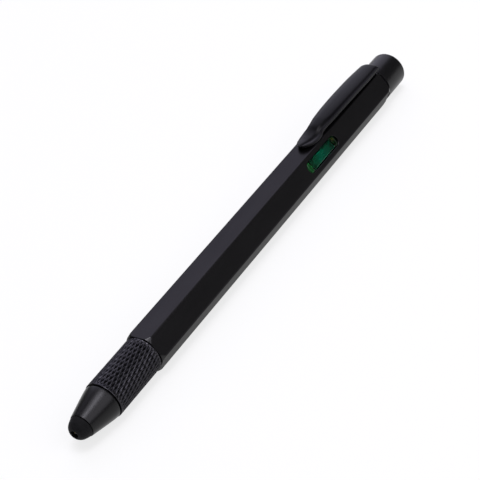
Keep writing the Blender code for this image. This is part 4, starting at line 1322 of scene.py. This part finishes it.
def makeFloor():
    # Part of the floor's light is its own where it is seen, so that it stays pale and keeps the shadow
    v = stage
    half = v["floorHalf"]
    shape = bmesh.new()
    corners = ((-half, -half, 0), (half, -half, 0), (half, half, 0), (-half, half, 0))
    shape.faces.new([shape.verts.new(corner) for corner in corners])
    floor = finishMesh("paleFloor", shape)
    floor.location = (0.0, 0.0, barrelLow.z - v["floorGap"])
    made, tree, shader, _ = startMaterial("paleFloor", v)
    both = addNode(tree, "ShaderNodeMixShader", {
        0: doMath(tree, "MULTIPLY", seenRays(tree), v["seenFloor"]), 1: shader.outputs[0],
        2: addNode(tree, "ShaderNodeEmission")[0]})
    tree.links.new(both[0], tree.nodes["Material Output"].inputs["Surface"])
    floor.data.materials.append(made)


def makeWorld():
    # A plain grey room beyond the floor and the lamps
    world = bpy.data.worlds.new("softStudio")
    world.use_nodes = True
    background = world.node_tree.nodes["Background"]
    background.inputs["Color"].default_value = (1.0, 1.0, 1.0, 1.0)
    background.inputs["Strength"].default_value = stage["roomLight"]
    bpy.context.scene.world = world


def makeLamps():
    # A disk's energy follows from how bright it looks and how large it is
    for name, (turnDeg, riseDeg, away, halfWidthDeg, radiance, color) in stage["lamps"].items():
        turn = math.radians(turnDeg)
        rise = math.radians(riseDeg)
        flat = math.cos(rise)
        spot = Vector((math.cos(turn) * flat, math.sin(turn) * flat, math.sin(rise))) * away
        radius = away * math.tan(math.radians(halfWidthDeg))
        data = bpy.data.lights.new(name, "AREA")
        data.shape = "DISK"
        data.size = 2 * radius
        data.energy = radiance * math.pi ** 2 * radius ** 2
        data.color = color
        light = addObject(name, data)
        light.location = spot
        light.rotation_euler = (-spot).to_track_quat("-Z", "Y").to_euler()


# Everything in its place

makeCamera()
makeFloor()
makeWorld()
makeLamps()
print("camera and stage ready")

finish = {name: makeFinish(name, v) for name, v in finishes.items()}
finish["anodisedKnurl"] = makeKnurled()
finish["greenLiquid"] = makeLiquid()
addGlint(finish["shadedFarPlug"])
print("materials ready")

thread = threadTree()
black = finish["anodisedTurned"]
brass = finish["brassTurned"]
knurl = finish["anodisedKnurl"]
hexBarrel = dress(makeBarrel(), finish["anodisedBarrel"], "barrel", "black_anodised", "barrel")
polishEnds(hexBarrel, finish["anodisedChamfer"])
dress(makeTip(), finish["mattRubber"], "nose", "black_rubber", "stylus_tip")
dress(makeCone(black, thread), black, "nose", "black_anodised", "nose_cone")
dress(makeGrip(knurl), knurl, "grip", "black_knurl", "grip")
dress(makeCap(), black, "cap", "black_anodised", "cap")
dress(makeCollar(brass, thread), brass, "barrel", "brass", "end_collar")
dress(makeClip(), finish["blackClipPaint"], "clip", "black_painted_steel", "clip_arm")
print("outer pieces ready")

dress(fillSlot(makeVialTube()), finish["clearAcrylic"], "barrel", "clear_plastic", "vial_tube")
upper = makePlug("vialPlugUpper", vialEnd, 1, vial["farSpigot"])
lower = makePlug("vialPlugLower", vialStart, -1, vial["nearSpigot"])
dress(fillSlot(upper), finish["shadedFarPlug"], "barrel", "clear_plastic", "vial_plug_upper")
dress(fillSlot(lower), finish["nearPlug"], "barrel", "clear_plastic", "vial_plug_lower")
dress(fillSlot(makeMarks()), finish["markInk"], "barrel", "black_plastic")
dress(fillSlot(makeLiquidBody()), finish["greenLiquid"], "barrel", "green_liquid", "vial_liquid")
dress(makeBubble(), finish["paintedBubbleHighlight"], "bubble", "bubble", "level_bubble")
print("level ready")

# Inner pieces keep the CAD shape, with smooth skins
innerPieces = {
    "clip_root": ("clipRoot", "blackClipPaint", "black_painted_steel"),
    "vial_saddle": ("vialSaddle", "blackPlastic", "black_plastic"),
    "guide_tube": ("guideTube", "blackPlastic", "black_plastic"),
    "bit_socket": ("bitSocket", "brassTurned", "brass"),
    "driver_bit": ("driverBit", "bitSteelTurned", "steel"),
    "nose_bush": ("noseBush", "greyPlastic", "grey_plastic"),
    "cam_sleeve": ("camSleeve", "brassTurned", "brass"),
    "cam_ring": ("camRing", "steelTurned", "steel"),
    "grip_o_ring": ("gripRing", "mattRubber", "black_rubber"),
    "refill_holder": ("refillHolder", "greyPlastic", "grey_plastic"),
    "follower_pin": ("followerPin", "steelTurned", "steel"),
    "refill_tube": ("refillTube", "steelTurned", "steel"),
    "refill_point": ("refillPoint", "brassTurned", "brass"),
    "refill_ball": ("refillBall", "ballSteelTurned", "steel"),
}
for node, (name, coat, slot) in innerPieces.items():
    dress(smoothCopy(node, name), finish[coat], nodes[node]["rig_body"], slot, node)
print("inner pieces ready")

bpy.context.scene.view_settings.view_transform = "Standard"
